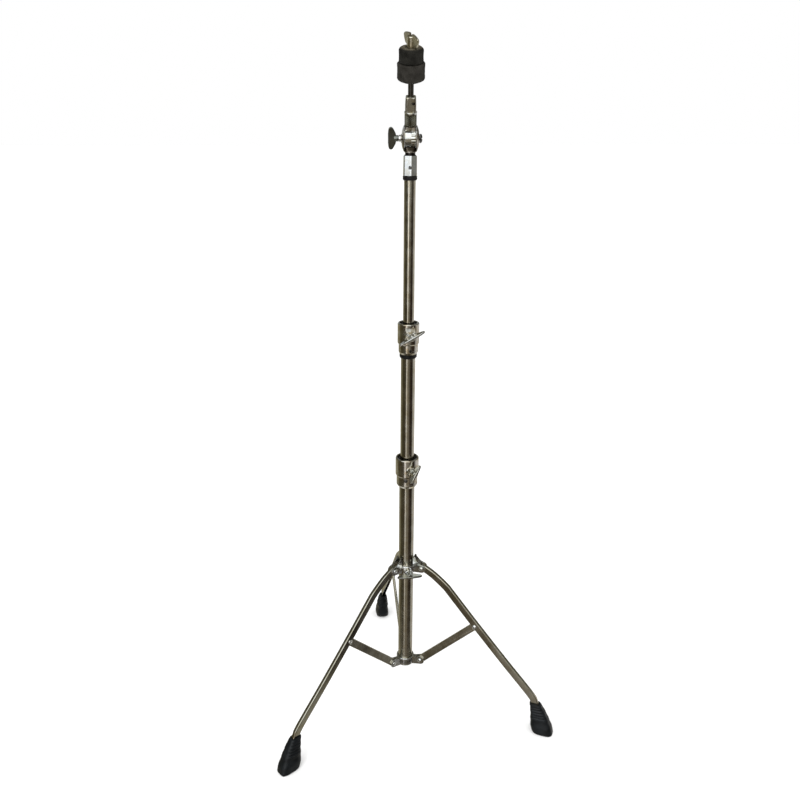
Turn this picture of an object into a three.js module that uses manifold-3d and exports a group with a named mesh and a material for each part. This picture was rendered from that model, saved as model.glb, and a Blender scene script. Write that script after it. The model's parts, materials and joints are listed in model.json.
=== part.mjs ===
// Straight cymbal stand: a folding tripod, three telescoping tubes and a tilting cymbal rod.
// Millimetres, +Z up. The origin is the centre of the stand's footprint on the floor.
import * as THREE from 'three';
import { mergeVertices } from 'three/addons/utils/BufferGeometryUtils.js';
import Module from 'manifold-3d';

const wasm = await Module();
wasm.setup();

// Fits and overruns
const seatGap = 0.3;
const slideGap = 0.2;
const cutOverrun = 2;
const mergeReach = 0.0001;

// Counts of facets
const tubeSides = 24;
const collarSides = 24;
const smallSides = 12;
const toothCount = 22;
const roundSteps = 2;

// Tubes of the mast
const baseTubeDiameter = 28.6;
const tubeWall = 1.2;
const middleTubePlay = 0.4;
const upperTubePlay = 1.95;
const middleTubeHidden = 251;
const upperTubeHidden = 250;
const baseTubeBelowPivots = 9;
const guideLength = 12;
const guideFlange = 2.5;
const guideWall = 1.4;
const plugLength = 11;
const plugFlange = 3;

// Tripod linkage
const pivotStandOff = 15.7;
const lowerPivotHeight = 106;
const upperPivotHeight = 326;
const braceReach = 110;
const footRadius = 288;

// Legs, pressed channels that are open towards the mast
const legDepth = 13.5;
const legWidth = 8;
const legWall = 1.3;
const legHeadLength = 5;
const bracePinInset = 3;
const legSamples = 16;
const legArchShares = [[0.145, 0.05], [0.36, 0.073], [0.46, 0.068], [0.71, 0.045]];
const legShankShares = [[0.34, 0.044], [0.67, 0.091], [0.7456, 0.087], [0.8255, 0.07], [0.9, 0.046]];

// Braces
const braceHeight = 15;
const bracePlay = 0.6;
const braceWall = 1.1;
const braceSolidEnd = 13;

// Rivets
const rivetDiameter = 5;
const rivetHeadDiameter = 9.4;
const rivetHeadHeight = 2.2;
const rivetDomeShares = [[1, 0], [0.78, 0.7], [0, 1]];

// Ears that hold the legs and braces
const earWall = 2.4;
const earPlay = 0.4;
const earRound = 9;

// Collar of both hubs
const hubCollarWall = 3;

// Leg hub that slides on the base tube
const hubAbovePivots = 4;
const hubBelowPivots = 13;
const hubEarRise = 27;
const hubEarShoulder = 3;
const hubBoltDrop = 5;
const hubBossDiameter = 15;
const hubBossReach = 10;

// Lower hub fixed to the base tube
const lowerHubShoulder = 3;
const lowerHubAbove = 5;
const lowerHubBelow = 12;

// Lower height clamp
const lowerClampBottom = 499.5;
const lowerClampLength = 59;
const lowerClampLipWall = 1.9;
const lowerClampSkirtWall = 4.9;
const lowerClampStepOut = 2;
const lowerClampStep = 25;
const lowerClampTaper = 5;
const lowerClampSeatDepth = 27;
const lowerClampBoltDrop = 21;
const lowerClampTurn = 13.4;
const lowerClampRivetHeight = 18;
const lowerClampRivetTurn = -31.6;

// Upper height clamp
const middleTubeShown = 193;
const upperRingLength = 7;
const upperRingLipWall = 1.2;
const upperClampLength = 56;
const upperClampLipWall = 2.3;
const upperClampSkirtWall = 4;
const upperClampStepOut = 1.9;
const upperClampStep = 20;
const upperClampTaper = 4;
const upperClampSeatDepth = 25;
const upperClampBoltDrop = 20;
const upperClampPinHeight = 8;
const upperClampPinTurn = 2;

// What both clamps share
const clampWall = 3.3;
const clampRimRound = 3;
const clampStepBlend = 1.6;
const bushingSlit = 2.4;
const bushingDrop = 3.4;
const bossDiameter = 18;
const bossReach = 5;
const bossSink = 1;
const shoeThickness = 1.6;
const clampPinDiameter = 5;
const clampPinSink = 2.4;
const clampPinHeadDiameter = 7.5;
const clampPinHeadTop = 5.6;
const clampPinHeadHeight = 1.2;
const clampPinRecess = 0.6;

// Wing bolts of the clamps and of the leg hub
const wingStudDiameter = 8;
const wingHubDiameter = 13;
const wingHubTip = 9.6;
const wingHubLength = 11.5;
const wingHubShoulder = 3.5;
const wingDepth = 14;
const wingThickness = 4.6;
const upperWingSpan = 49;
const lowerWingSpan = 38;
const hubWingSpan = 47;
const upperWingTurn = 28;
const lowerWingTurn = 60;
const hubWingTurn = 3;
const wingShares = [[0.28, 0.06], [0.45, 0.11], [0.67, 0.25], [0.85, 0.38], [0.96, 0.5], [1, 0.64],
  [0.93, 0.86], [0.72, 0.96], [0.4, 1]];

// Head at the top of the upper tube
const headTurn = -11.6;
const upperTubeShown = 237;
const stopRingLength = 6.7;
const stopRingWall = 1.95;
const stopRingLipWall = 0.75;
const stopRingTaper = 2.2;
const sleeveLength = 31;
const sleeveWall = 1.9;
const sleeveRimRound = 1.2;
const tubeBelowSleeveTop = 7;
const spigotLength = 26;
const keyBoltDiameter = 4.4;
const keyBoltSquare = 5;
const keyBoltReach = 2.2;
const keyBoltHeight = 13;

// Fork of the tilter
const pivotAboveSleeve = 26;
const forkGap = 18.4;
const cheekDiameter = 40;
const cheekRim = 1.6;
const cheekBoss = 5.8;
const cheekBossDiameter = 12;
const neckWidth = 19.5;
const neckDepth = 17;
const neckTopGrip = 3.8;
const neckTopDrop = 7;
const forkFloorPlay = 0.7;
const tilterBoltDiameter = 6;
const tilterHeadDiameter = 14;
const tilterHeadLength = 4;
const tilterHeadTip = 7;
const tilterHeadRim = 2;
const tilterConeLength = 3.4;
const tilterConeDiameter = 11;
const tilterNutNeck = 3;
const tilterNutHub = 9.5;
const tilterNutTip = 8.4;
const tilterNutLength = 7.5;
const tilterNutBore = 6;
const tilterBoltGrip = 5;
const tilterWingSpan = 35;
const tilterWingDepth = 13.6;
const tilterWingThickness = 5;
const tilterWingTurn = 4;

// Tilting arm
const tiltAngle = 20;
const drumDiameter = 31;
const drumPlay = 0.3;
const drumGrooveWidth = 0.8;
const drumGrooveDepth = 1;
const drumGrooveShares = [-0.46, 0.1];
const toothDepth = 1.4;
const armStemDepth = 13.6;
const armBarrelStart = 21;
const armBarrelDiameter = 19.2;
const armRingStart = 40;
const armRingDiameter = 20;
const armRingLength = 2.6;
const armBlockWidth = 17.4;
const armBlockDepth = 15;
const armBlockEnd = 65.6;
const armBlockRound = 4;
const armBlockStart = 42.3;
const rodSeatDepth = 20;
const setScrewDiameter = 4;
const setScrewLength = 5;
const setScrewBelowTop = 9;
const setScrewTurn = 30;
const setScrewSink = 0.6;

// Cymbal rod and what sits on it
const rodDiameter = 8.8;
const rodThreadDiameter = 6;
const rodShoulder = 87.6;
const rodBelowNutTop = 1.5;
const rodChamfer = 1;
const washerDiameter = 28;
const washerThickness = 1.6;
const sleeveTubeDiameter = 9.4;
const sleeveTubeBelowTop = 2.4;
const lowerFeltDiameter = 42.6;
const lowerFeltHeight = 25.4;
const upperFeltDiameter = 37.6;
const upperFeltHeight = 21.3;
const feltRound = 4;
const upperFeltRound = 5;
const feltBoreDiameter = 10.2;
const topNutHub = 12.4;
const topNutHeight = 20.2;
const topNutMouth = 8.6;
const topNutMouthDepth = 3;
const topWingSpan = 47;
const topWingThickness = 4;
const topWingTurn = -64;
const topWingShares = [[0.3, 0], [0.62, 0.03], [0.83, 0.24], [0.95, 0.5], [1, 0.74], [1, 0.84],
  [0.95, 0.92], [0.76, 0.975], [0.4, 1]];

// Rubber feet
const bootHeight = 72;
const bootLength = 42;
const bootWidth = 29;
const bootSides = 18;
const bootSquareness = 3.4;
const bootShares = [[0, 0.92, 0.93], [0.035, 0.98, 1], [0.2, 1, 0.97], [0.46, 0.87, 0.82],
  [0.7, 0.72, 0.68], [0.94, 0.56, 0.56], [1, 0.5, 0.51]];

// Places worked out from the sizes above
const baseRadius = baseTubeDiameter / 2;
const middleRadius = baseRadius - tubeWall - middleTubePlay;
const upperRadius = middleRadius - tubeWall - upperTubePlay;
const pivotRadius = baseRadius + hubCollarWall + pivotStandOff;
const braceWidth = legWidth - 2 * legWall - 2 * bracePlay;
const pivotRise = upperPivotHeight - lowerPivotHeight;
const elbowHeight = (upperPivotHeight + lowerPivotHeight) / 2;
const braceLength = Math.hypot(braceReach, pivotRise / 2);
const braceAngle = Math.atan2(pivotRise / 2, braceReach);
const baseTubeBottom = lowerPivotHeight - baseTubeBelowPivots;
const baseTubeTop = lowerClampBottom + lowerClampLength - lowerClampSeatDepth - seatGap;
const lowerClampTop = lowerClampBottom + lowerClampLength;
const middleTubeBottom = lowerClampTop - middleTubeHidden;
const upperRingBottom = lowerClampTop + middleTubeShown;
const upperClampBottom = upperRingBottom + upperRingLength + seatGap;
const upperClampTop = upperClampBottom + upperClampLength;
const middleTubeTop = upperClampTop - upperClampSeatDepth - seatGap;
const upperTubeBottom = upperClampTop - upperTubeHidden;
const stopRingBottom = upperClampTop + upperTubeShown;
const sleeveBottom = stopRingBottom + stopRingLength + seatGap;
const sleeveTop = sleeveBottom + sleeveLength;
const upperTubeTop = sleeveTop - tubeBelowSleeveTop;
const tiltPivotHeight = sleeveTop + pivotAboveSleeve;
const footReach = footRadius + bootLength / 2;
const frontReach = footReach * Math.sin(Math.PI / 6) + bootWidth / 2 * Math.cos(Math.PI / 6);
const mastY = (frontReach - footReach) / 2;

const chrome = { color: 0x9a968c, roughness: 0.22, metalness: 1 };
const wornNickel = { color: 0x8d887a, roughness: 0.3, metalness: 1 };
const brightChrome = { color: 0xc9ccd0, roughness: 0.15, metalness: 1 };
const brassyNickel = { color: 0xa39a80, roughness: 0.35, metalness: 1 };
const darkSteel = { color: 0x55534e, roughness: 0.4, metalness: 1 };
const blackNylon = { color: 0x151514, roughness: 0.55, metalness: 0 };
const blackRubber = { color: 0x1c1f24, roughness: 0.8, metalness: 0 };
const darkFelt = { color: 0x2b2927, roughness: 0.95, metalness: 0 };

// Turn a closed geometry into a solid with its faces pointing out
function solid(geometry) {
  const bare = geometry.clone();
  bare.deleteAttribute('normal');
  bare.deleteAttribute('uv');
  const merged = mergeVertices(bare, mergeReach);
  const spots = merged.attributes.position.array;
  const corners = merged.index.array;
  const faces = [];
  let volume = 0;
  const a = new THREE.Vector3();
  const b = new THREE.Vector3();
  const c = new THREE.Vector3();
  for (let i = 0; i < corners.length; i += 3) {
    const [p, q, r] = [corners[i], corners[i + 1], corners[i + 2]];
    if (p === q || q === r || r === p) continue;
    faces.push([p, q, r]);
    a.fromArray(spots, 3 * p);
    b.fromArray(spots, 3 * q);
    c.fromArray(spots, 3 * r);
    volume += a.dot(b.cross(c));
  }
  const ordered = volume < 0 ? faces.map(([p, q, r]) => [p, r, q]) : faces;
  return new wasm.Manifold(new wasm.Mesh({
    numProp: 3,
    vertProperties: new Float32Array(spots),
    triVerts: new Uint32Array(ordered.flat()),
  }));
}

const join = (...bodies) => bodies.reduce((whole, body) => whole.add(body));
const cut = (body, ...tools) => tools.reduce((rest, tool) => rest.subtract(tool), body);

// Name a solid and give it its material
function piece(name, body, look) {
  const mesh = body.getMesh();
  const geometry = new THREE.BufferGeometry();
  geometry.setAttribute('position', new THREE.BufferAttribute(mesh.vertProperties, 3));
  geometry.setIndex(new THREE.BufferAttribute(mesh.triVerts, 1));
  geometry.computeVertexNormals();
  const made = new THREE.Mesh(geometry, new THREE.MeshStandardMaterial(look));
  made.name = name;
  return made;
}

const degrees = THREE.MathUtils.degToRad;
const upright = (geometry) => geometry.rotateX(Math.PI / 2);
const facingFront = (geometry) => geometry.rotateX(Math.PI / 2);
const facingRight = (geometry) => geometry.rotateY(Math.PI / 2);

// A turned shape about the Z axis, from pairs of radius and height
function turned(profile, sides) {
  const points = profile.map(([radius, height]) => new THREE.Vector2(radius, height));
  return upright(new THREE.LatheGeometry([...points, points[0]], sides));
}

function rod(radius, low, high, sides) {
  return turned([[0, low], [radius, low], [radius, high], [0, high]], sides);
}

function ring(inner, outer, low, high, sides) {
  return turned([[inner, low], [outer, low], [outer, high], [inner, high]], sides);
}

// A flat plate in the XZ plane, centred on Y
function plate(outline, thickness) {
  const shape = new THREE.Shape(outline.map(([x, z]) => new THREE.Vector2(x, z)));
  const body = new THREE.ExtrudeGeometry(shape, { depth: thickness, bevelEnabled: false, steps: 1 });
  body.translate(0, 0, -thickness / 2);
  return upright(body);
}

function block(width, depth, height) {
  return new THREE.BoxGeometry(width, depth, height);
}

// Points along an arc in the XZ plane
function arc(centre, radius, from, to, steps) {
  const points = [];
  for (let i = 0; i <= steps; i += 1) {
    const angle = from + (to - from) * i / steps;
    points.push([centre[0] + radius * Math.cos(angle), centre[1] + radius * Math.sin(angle)]);
  }
  return points;
}

// The leg's centre line in its own upright plane, from the hub to the foot
function legLine() {
  const head = new THREE.Vector2(pivotRadius, upperPivotHeight);
  const elbow = new THREE.Vector2(pivotRadius + braceReach, elbowHeight);
  const foot = new THREE.Vector2(footRadius, 0);
  const stations = (start, end, shares) => {
    const run = end.clone().sub(start);
    const out = new THREE.Vector2(-run.y, run.x);
    return shares.map(([along, aside]) => (
      start.clone().addScaledVector(run, along).addScaledVector(out, aside)));
  };
  const shank = foot.clone().sub(elbow).normalize();
  const pinOffset = new THREE.Vector2(-shank.y, shank.x).multiplyScalar(bracePinInset);
  const knee = elbow.clone().add(pinOffset);
  const arm = elbow.clone().sub(head).normalize();
  const top = head.clone().addScaledVector(arm, -legHeadLength);
  const arch = stations(head, elbow, legArchShares);
  const lower = stations(knee, foot, legShankShares);
  const curve = new THREE.SplineCurve([top, ...arch, knee, ...lower]);
  return curve.getSpacedPoints(legSamples);
}

const legPoints = legLine();

// An outline that runs beside the leg's centre line, from one side to the other
function legOutline(outside, inside, endGrowth) {
  const sides = [[], []];
  legPoints.forEach((point, index) => {
    const before = legPoints[Math.max(index - 1, 0)];
    const after = legPoints[Math.min(index + 1, legPoints.length - 1)];
    const along = after.clone().sub(before).normalize();
    const out = new THREE.Vector2(-along.y, along.x);
    const shift = index === 0 ? -endGrowth : index === legPoints.length - 1 ? endGrowth : 0;
    const base = point.clone().addScaledVector(along, shift);
    sides[0].push(base.clone().addScaledVector(out, outside).toArray());
    sides[1].push(base.clone().addScaledVector(out, inside).toArray());
  });
  return [...sides[0], ...sides[1].reverse()];
}

// Radius of the leg's centre line at a height above the floor
function legRadiusAt(height) {
  const last = legPoints.length - 1;
  let index = last;
  while (index > 1 && legPoints[index - 1].y < height) index -= 1;
  const low = legPoints[index];
  const high = legPoints[index - 1];
  return low.x + (high.x - low.x) * (height - low.y) / (high.y - low.y);
}

const rivetRadius = rivetDiameter / 2;
const rivetHole = rivetRadius + seatGap;
const sideways = (radius, width, sides) => rod(radius, -width / 2, width / 2, sides).rotateX(Math.PI / 2);

// A rivet along Y whose heads seat on the outside of what it holds
function rivet(name, grip) {
  const half = grip / 2 + seatGap;
  const dome = rivetDomeShares.map(([wide, tall]) => [
    rivetHeadDiameter / 2 * wide, half + rivetHeadHeight * tall]);
  const lowerDome = dome.map(([radius, height]) => [radius, -height]).reverse();
  const profile = [...lowerDome, [rivetRadius, -half], [rivetRadius, half], ...dome];
  return piece(name, solid(turned(profile, smallSides).rotateX(Math.PI / 2)), brightChrome);
}

function leg(name) {
  const outer = solid(plate(legOutline(legDepth / 2, -legDepth / 2, 0), legWidth));
  const channel = solid(plate(
    legOutline(legDepth / 2 - legWall, -legDepth / 2 - cutOverrun, cutOverrun), legWidth - 2 * legWall));
  const hubHole = solid(sideways(rivetHole, legWidth + cutOverrun, smallSides)
    .translate(pivotRadius, 0, upperPivotHeight));
  const braceHole = solid(sideways(rivetHole, legWidth + cutOverrun, smallSides)
    .translate(pivotRadius + braceReach, 0, elbowHeight));
  return piece(name, cut(outer, channel, hubHole, braceHole), wornNickel);
}

// A brace along X, with rounded ends and a channel open below
function brace(name) {
  const half = braceHeight / 2;
  const outline = [...arc([0, 0], half, Math.PI / 2, 3 * Math.PI / 2, smallSides / 2),
    ...arc([braceLength, 0], half, -Math.PI / 2, Math.PI / 2, smallSides / 2)];
  const bar = solid(plate(outline, braceWidth));
  const channelLength = braceLength - 2 * braceSolidEnd;
  const channel = solid(block(channelLength, braceWidth - 2 * braceWall, braceHeight)
    .translate(braceLength / 2, 0, -braceWall));
  const holes = [0, braceLength].map((x) => solid(
    sideways(rivetHole, braceWidth + cutOverrun, smallSides).translate(x, 0, 0)));
  const made = piece(name, cut(bar, channel, ...holes), wornNickel);
  made.position.set(pivotRadius, 0, lowerPivotHeight);
  made.rotation.y = -braceAngle;
  return made;
}

// A rubber foot lofted upward round the end of the leg
function boot(name) {
  const spots = [];
  const faces = [];
  bootShares.forEach(([up, long, wide]) => {
    const height = bootHeight * up;
    const middle = legRadiusAt(height);
    for (let i = 0; i < bootSides; i += 1) {
      const angle = 2 * Math.PI * i / bootSides;
      const x = Math.cos(angle);
      const y = Math.sin(angle);
      const reach = (Math.abs(x) ** bootSquareness + Math.abs(y) ** bootSquareness) ** (-1 / bootSquareness);
      spots.push(middle + bootLength / 2 * long * reach * x, bootWidth / 2 * wide * reach * y, height);
    }
  });
  const rows = bootShares.length;
  for (let row = 0; row < rows - 1; row += 1) {
    for (let i = 0; i < bootSides; i += 1) {
      const a = row * bootSides + i;
      const b = row * bootSides + (i + 1) % bootSides;
      faces.push(a, b, b + bootSides, a, b + bootSides, a + bootSides);
    }
  }
  const top = (rows - 1) * bootSides;
  for (let i = 1; i < bootSides - 1; i += 1) {
    faces.push(0, i + 1, i);
    faces.push(top, top + i, top + i + 1);
  }
  const geometry = new THREE.BufferGeometry();
  geometry.setAttribute('position', new THREE.Float32BufferAttribute(spots, 3));
  geometry.setIndex(faces);
  const pocket = solid(plate(legOutline(legDepth / 2 + seatGap, -legDepth / 2 - seatGap, seatGap),
    legWidth + 2 * seatGap));
  return piece(name, cut(solid(geometry), pocket), blackRubber);
}

// Rotate a geometry about the mast
const spun = (geometry, angle) => geometry.rotateZ(degrees(angle));

const legAngles = { left: 210, right: 330, rear: 90 };
const hubBore = baseRadius + seatGap;

// A pair of ears with a pivot hole, standing out from a collar at one angle
function ears(pivotHeight, top, bottom, shoulder, armWidth, angle) {
  const gap = armWidth + 2 * earPlay;
  const wide = gap + 2 * earWall;
  const root = hubBore + hubCollarWall / 2;
  const outline = [[root, bottom],
    ...arc([pivotRadius, pivotHeight], earRound, -Math.PI / 2, Math.PI / 3, smallSides / 2),
    [root + shoulder, top], [root, top]];
  const slotFrom = hubBore + hubCollarWall + seatGap;
  const slotLength = pivotRadius + earRound + cutOverrun - slotFrom;
  const slot = block(slotLength, gap, top - bottom + 2 * earRound)
    .translate(slotFrom + slotLength / 2, 0, (top + bottom) / 2);
  const hole = sideways(rivetHole, wide + cutOverrun, smallSides).translate(pivotRadius, 0, pivotHeight);
  return cut(solid(spun(plate(outline, wide), angle)), solid(spun(slot, angle)), solid(spun(hole, angle)));
}

function lowerHub() {
  const top = lowerPivotHeight + lowerHubAbove;
  const bottom = lowerPivotHeight - lowerHubBelow;
  const collar = solid(ring(hubBore, hubBore + hubCollarWall, bottom, top, tubeSides));
  const arms = Object.values(legAngles).map((angle) => (
    ears(lowerPivotHeight, top, bottom, lowerHubShoulder, braceWidth, angle)));
  return piece('lower_hub', join(collar, ...arms), brightChrome);
}

const hubTop = upperPivotHeight + hubAbovePivots;
const hubBottom = upperPivotHeight - hubBelowPivots;
const hubBoltHeight = upperPivotHeight - hubBoltDrop;
const hubFace = hubBore + hubCollarWall + hubBossReach;
const studHole = wingStudDiameter / 2 + seatGap;

function legHub() {
  const collar = solid(ring(hubBore, hubBore + hubCollarWall, hubBottom, hubTop, tubeSides));
  const arms = Object.values(legAngles).map((angle) => (
    ears(upperPivotHeight, upperPivotHeight + hubEarRise, hubBottom, hubEarShoulder, legWidth, angle)));
  const boss = solid(facingFront(rod(hubBossDiameter / 2, hubBore + hubCollarWall / 2, hubFace, smallSides))
    .translate(0, 0, hubBoltHeight));
  const hole = solid(facingFront(rod(studHole, baseRadius / 2, hubFace + cutOverrun, smallSides))
    .translate(0, 0, hubBoltHeight));
  return piece('leg_hub', cut(join(collar, ...arms, boss), hole), brightChrome);
}

// A small pad between a wing bolt's tip and what it presses on
function shoe(name, from) {
  const body = solid(rod(wingStudDiameter / 2, from, from + shoeThickness, smallSides));
  const made = piece(name, body, darkSteel);
  made.rotation.x = Math.PI / 2;
  return made;
}

// The outline of a pair of wings in the XZ plane, rising along Z
function wingOutline(span, depth, shares) {
  const right = shares.map(([out, up]) => [span / 2 * out, depth * up]);
  const left = right.map(([x, z]) => [-x, z]).reverse();
  return [...right, ...left];
}

// A wing bolt facing the front, with its shoulder on a boss
function wingBolt(name, studLength, span, turn) {
  const stud = wingStudDiameter / 2;
  const hub = wingHubDiameter / 2;
  const body = solid(turned([[0, -studLength], [stud, -studLength], [stud, seatGap], [hub, seatGap],
    [hub, wingHubShoulder], [wingHubTip / 2, wingHubLength], [0, wingHubLength]], smallSides));
  const wings = solid(plate(wingOutline(span, wingDepth, wingShares), wingThickness));
  const made = piece(name, join(body, wings), brassyNickel);
  made.rotation.set(Math.PI / 2, 0, degrees(turn));
  return made;
}

function clampShell(name, size, pinHoles, look) {
  const { bore, lip, skirt, outer, length, step, taper, seat, seatDepth, boltDrop } = size;
  const profile = [[bore, 0], [lip, 0], [skirt, taper], [skirt, step - clampStepBlend], [outer, step],
    ...arc([outer - clampRimRound, length - clampRimRound], clampRimRound, 0, Math.PI / 2, roundSteps),
    [seat, length], [seat, length - seatDepth], [bore, length - seatDepth]];
  const boltHeight = length - boltDrop;
  const boss = solid(facingFront(rod(bossDiameter / 2, seat + bossSink, outer + bossReach, smallSides))
    .translate(0, 0, boltHeight));
  const hole = solid(facingFront(rod(studHole, bore / 2, outer + bossReach + cutOverrun, smallSides))
    .translate(0, 0, boltHeight));
  return piece(name, cut(join(solid(turned(profile, collarSides)), boss), hole, ...pinHoles), look);
}

function clampPinHole(surface, height, turn) {
  const hole = facingFront(rod(clampPinDiameter / 2 + seatGap, surface - clampPinSink, surface + cutOverrun,
    smallSides)).translate(0, 0, height);
  return solid(spun(hole, turn));
}

function bushing(name, size, sliding) {
  const height = size.seatDepth - bushingDrop;
  const inner = sliding + slideGap;
  const outer = size.seat - seatGap;
  const body = solid(ring(inner, outer, 0, height, collarSides));
  const slit = solid(block(bushingSlit, outer, height + cutOverrun)
    .translate(0, inner / 2 + outer / 2, height / 2));
  const made = piece(name, cut(body, slit), blackNylon);
  made.position.z = size.length - size.seatDepth + seatGap;
  return made;
}

// A tube clamp with its bushing, pressure shoe and wing bolt, built up from its lower end
function clampSet(prefix, size, sliding, pinHoles, pin, wing) {
  const group = new THREE.Group();
  const face = size.outer + bossReach;
  const boltHeight = size.length - size.boltDrop;
  const pad = shoe(`${prefix}_shoe`, size.seat);
  pad.position.z = boltHeight;
  const studLength = face - size.seat - shoeThickness - seatGap;
  const bolt = wingBolt(`${prefix}_wing_bolt`, studLength, wing.span, wing.turn);
  bolt.position.set(0, -face, boltHeight);
  const shell = clampShell(prefix, size, pinHoles, chrome);
  group.add(shell, bushing(`${prefix}_bushing`, size, sliding), pad, bolt, pin);
  return group;
}

function clampSize(tubeRadius, lipWall, skirtWall, stepOut, along) {
  const bore = tubeRadius + seatGap;
  const outer = bore + skirtWall + stepOut;
  return { bore, lip: bore + lipWall, skirt: bore + skirtWall, outer, seat: outer - clampWall, ...along };
}

const lowerClampSize = clampSize(baseRadius, lowerClampLipWall, lowerClampSkirtWall, lowerClampStepOut, {
  length: lowerClampLength,
  step: lowerClampStep,
  taper: lowerClampTaper,
  seatDepth: lowerClampSeatDepth,
  boltDrop: lowerClampBoltDrop,
});

const upperClampSize = clampSize(middleRadius, upperClampLipWall, upperClampSkirtWall, upperClampStepOut, {
  length: upperClampLength,
  step: upperClampStep,
  taper: upperClampTaper,
  seatDepth: upperClampSeatDepth,
  boltDrop: upperClampBoltDrop,
});

// A pin pressed into the side of a clamp, with a head or sunk below the surface
function clampPin(name, surface, height, turn, headed) {
  const radius = clampPinDiameter / 2;
  const foot = surface - clampPinSink + seatGap;
  const shank = [[0, foot], [radius, foot]];
  const end = headed
    ? [[radius, surface + seatGap], [clampPinHeadDiameter / 2, surface + seatGap],
      [clampPinHeadTop / 2, surface + clampPinHeadHeight], [0, surface + clampPinHeadHeight]]
    : [[radius, surface - clampPinRecess], [0, surface - clampPinRecess]];
  const body = facingFront(turned([...shank, ...end], smallSides));
  const made = piece(name, solid(spun(body, turn)), darkSteel);
  made.position.z = height;
  return made;
}

// A nylon plug in a tube's lower end whose flange runs in the tube outside it
function guide(name, inner, flange, tubeBottom) {
  const plug = inner - seatGap;
  const bore = inner - guideWall;
  const low = -seatGap - guideFlange;
  const body = solid(turned([[bore, low], [flange, low], [flange, -seatGap], [plug, -seatGap],
    [plug, guideLength], [bore, guideLength]], tubeSides));
  const made = piece(name, body, blackNylon);
  made.position.z = tubeBottom;
  return made;
}

function tube(name, radius, bottom, top, look) {
  const made = piece(name, solid(ring(radius - tubeWall, radius, 0, top - bottom, tubeSides)), look);
  made.position.z = bottom;
  return made;
}

function endPlug() {
  const body = solid(turned([[0, -plugFlange - seatGap], [baseRadius, -plugFlange - seatGap],
    [baseRadius, -seatGap], [baseRadius - tubeWall - seatGap, -seatGap],
    [baseRadius - tubeWall - seatGap, plugLength], [0, plugLength]], tubeSides));
  const made = piece('base_tube_plug', body, blackNylon);
  made.position.z = baseTubeBottom;
  return made;
}

function stopRing(name, inner, lip, outer, length) {
  const profile = [[inner, 0], [lip, 0], [outer, stopRingTaper], [outer, length], [inner, length]];
  return piece(name, solid(turned(profile, tubeSides)), blackNylon);
}

const stopRingBore = upperRadius + seatGap;
const sleeveOuter = stopRingBore + sleeveWall;

function sleeve() {
  const inner = stopRingBore;
  const outer = sleeveOuter;
  const body = solid(turned([[inner, 0], [outer, 0], [outer, sleeveLength - sleeveRimRound],
    [outer - sleeveRimRound, sleeveLength], [inner, sleeveLength]], collarSides));
  const holeRadius = keyBoltDiameter / 2 + seatGap;
  const hole = solid(facingFront(rod(holeRadius, inner / 2, outer + cutOverrun, smallSides))
    .translate(0, 0, keyBoltHeight));
  return piece('tilter_sleeve', cut(body, hole), brightChrome);
}

function keyBolt() {
  const stud = solid(rod(keyBoltDiameter / 2, upperRadius + seatGap, sleeveOuter + keyBoltReach, smallSides));
  const head = solid(block(keyBoltSquare, keyBoltSquare, keyBoltReach)
    .translate(0, 0, sleeveOuter + seatGap + keyBoltReach / 2));
  const made = piece('sleeve_key_bolt', join(stud, head), darkSteel);
  made.rotation.x = Math.PI / 2;
  return made;
}

// The fork that carries the tilting arm, with its pivot at the origin
function tilterBase() {
  const spigotRadius = upperRadius - tubeWall - seatGap;
  const tubeEnd = -pivotAboveSleeve - tubeBelowSleeveTop;
  const spigot = solid(rod(spigotRadius, tubeEnd - spigotLength, tubeEnd + cutOverrun, tubeSides));
  const flange = solid(rod(upperRadius, tubeEnd + seatGap, cutOverrun - pivotAboveSleeve, tubeSides));
  const neckFoot = seatGap - pivotAboveSleeve;
  const inner = forkGap / 2;
  const neckTop = inner + neckTopGrip;
  const neck = solid(plate([[-neckWidth / 2, neckFoot], [neckWidth / 2, neckFoot],
    [neckTop, -neckTopDrop], [-neckTop, -neckTopDrop]], neckDepth));
  const cheek = () => turned([[0, inner], [cheekDiameter / 2, inner], [cheekDiameter / 2, inner + cheekRim],
    [cheekBossDiameter / 2 + cheekRim, inner + cheekBoss - cheekRim / 2],
    [cheekBossDiameter / 2, inner + cheekBoss], [0, inner + cheekBoss]], collarSides);
  const right = solid(facingRight(cheek()));
  const left = solid(cheek().rotateY(-Math.PI / 2));
  const room = drumDiameter + cutOverrun;
  const floor = -drumDiameter / 2 - forkFloorPlay;
  const slot = solid(block(forkGap, room, room).translate(0, 0, floor + room / 2));
  const reach = inner + cheekBoss + cutOverrun;
  const hole = solid(facingRight(rod(tilterBoltDiameter / 2 + seatGap, -reach, reach, smallSides)));
  return piece('tilter_base', cut(join(spigot, flange, neck, right, left), slot, hole), brightChrome);
}

const cheekFace = forkGap / 2 + cheekBoss;
const nutSeat = cheekFace + seatGap + tilterConeLength + seatGap;

function tilterBolt() {
  const radius = tilterBoltDiameter / 2;
  const head = tilterHeadDiameter / 2;
  const from = -nutSeat - tilterBoltGrip;
  const body = solid(facingRight(turned([[0, from], [radius, from], [radius, cheekFace + seatGap],
    [head, cheekFace + seatGap], [head, cheekFace + tilterHeadRim],
    [tilterHeadTip / 2, cheekFace + tilterHeadLength], [0, cheekFace + tilterHeadLength]], smallSides)));
  return piece('tilter_bolt', body, darkSteel);
}

function tilterWasher() {
  const inner = tilterBoltDiameter / 2 + seatGap;
  const near = cheekFace + seatGap;
  const far = near + tilterConeLength;
  const profile = [[inner, near], [tilterConeDiameter / 2, near], [tilterNutHub / 2, far], [inner, far]];
  return piece('tilter_washer', solid(turned(profile, smallSides).rotateY(-Math.PI / 2)), brightChrome);
}

// A wing nut along Z that seats at zero, from its turned hub, its wings and its bore
function wingNutSolid(hub, wings, bore) {
  return cut(join(solid(turned(hub, smallSides)), solid(wings)), solid(bore));
}

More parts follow.
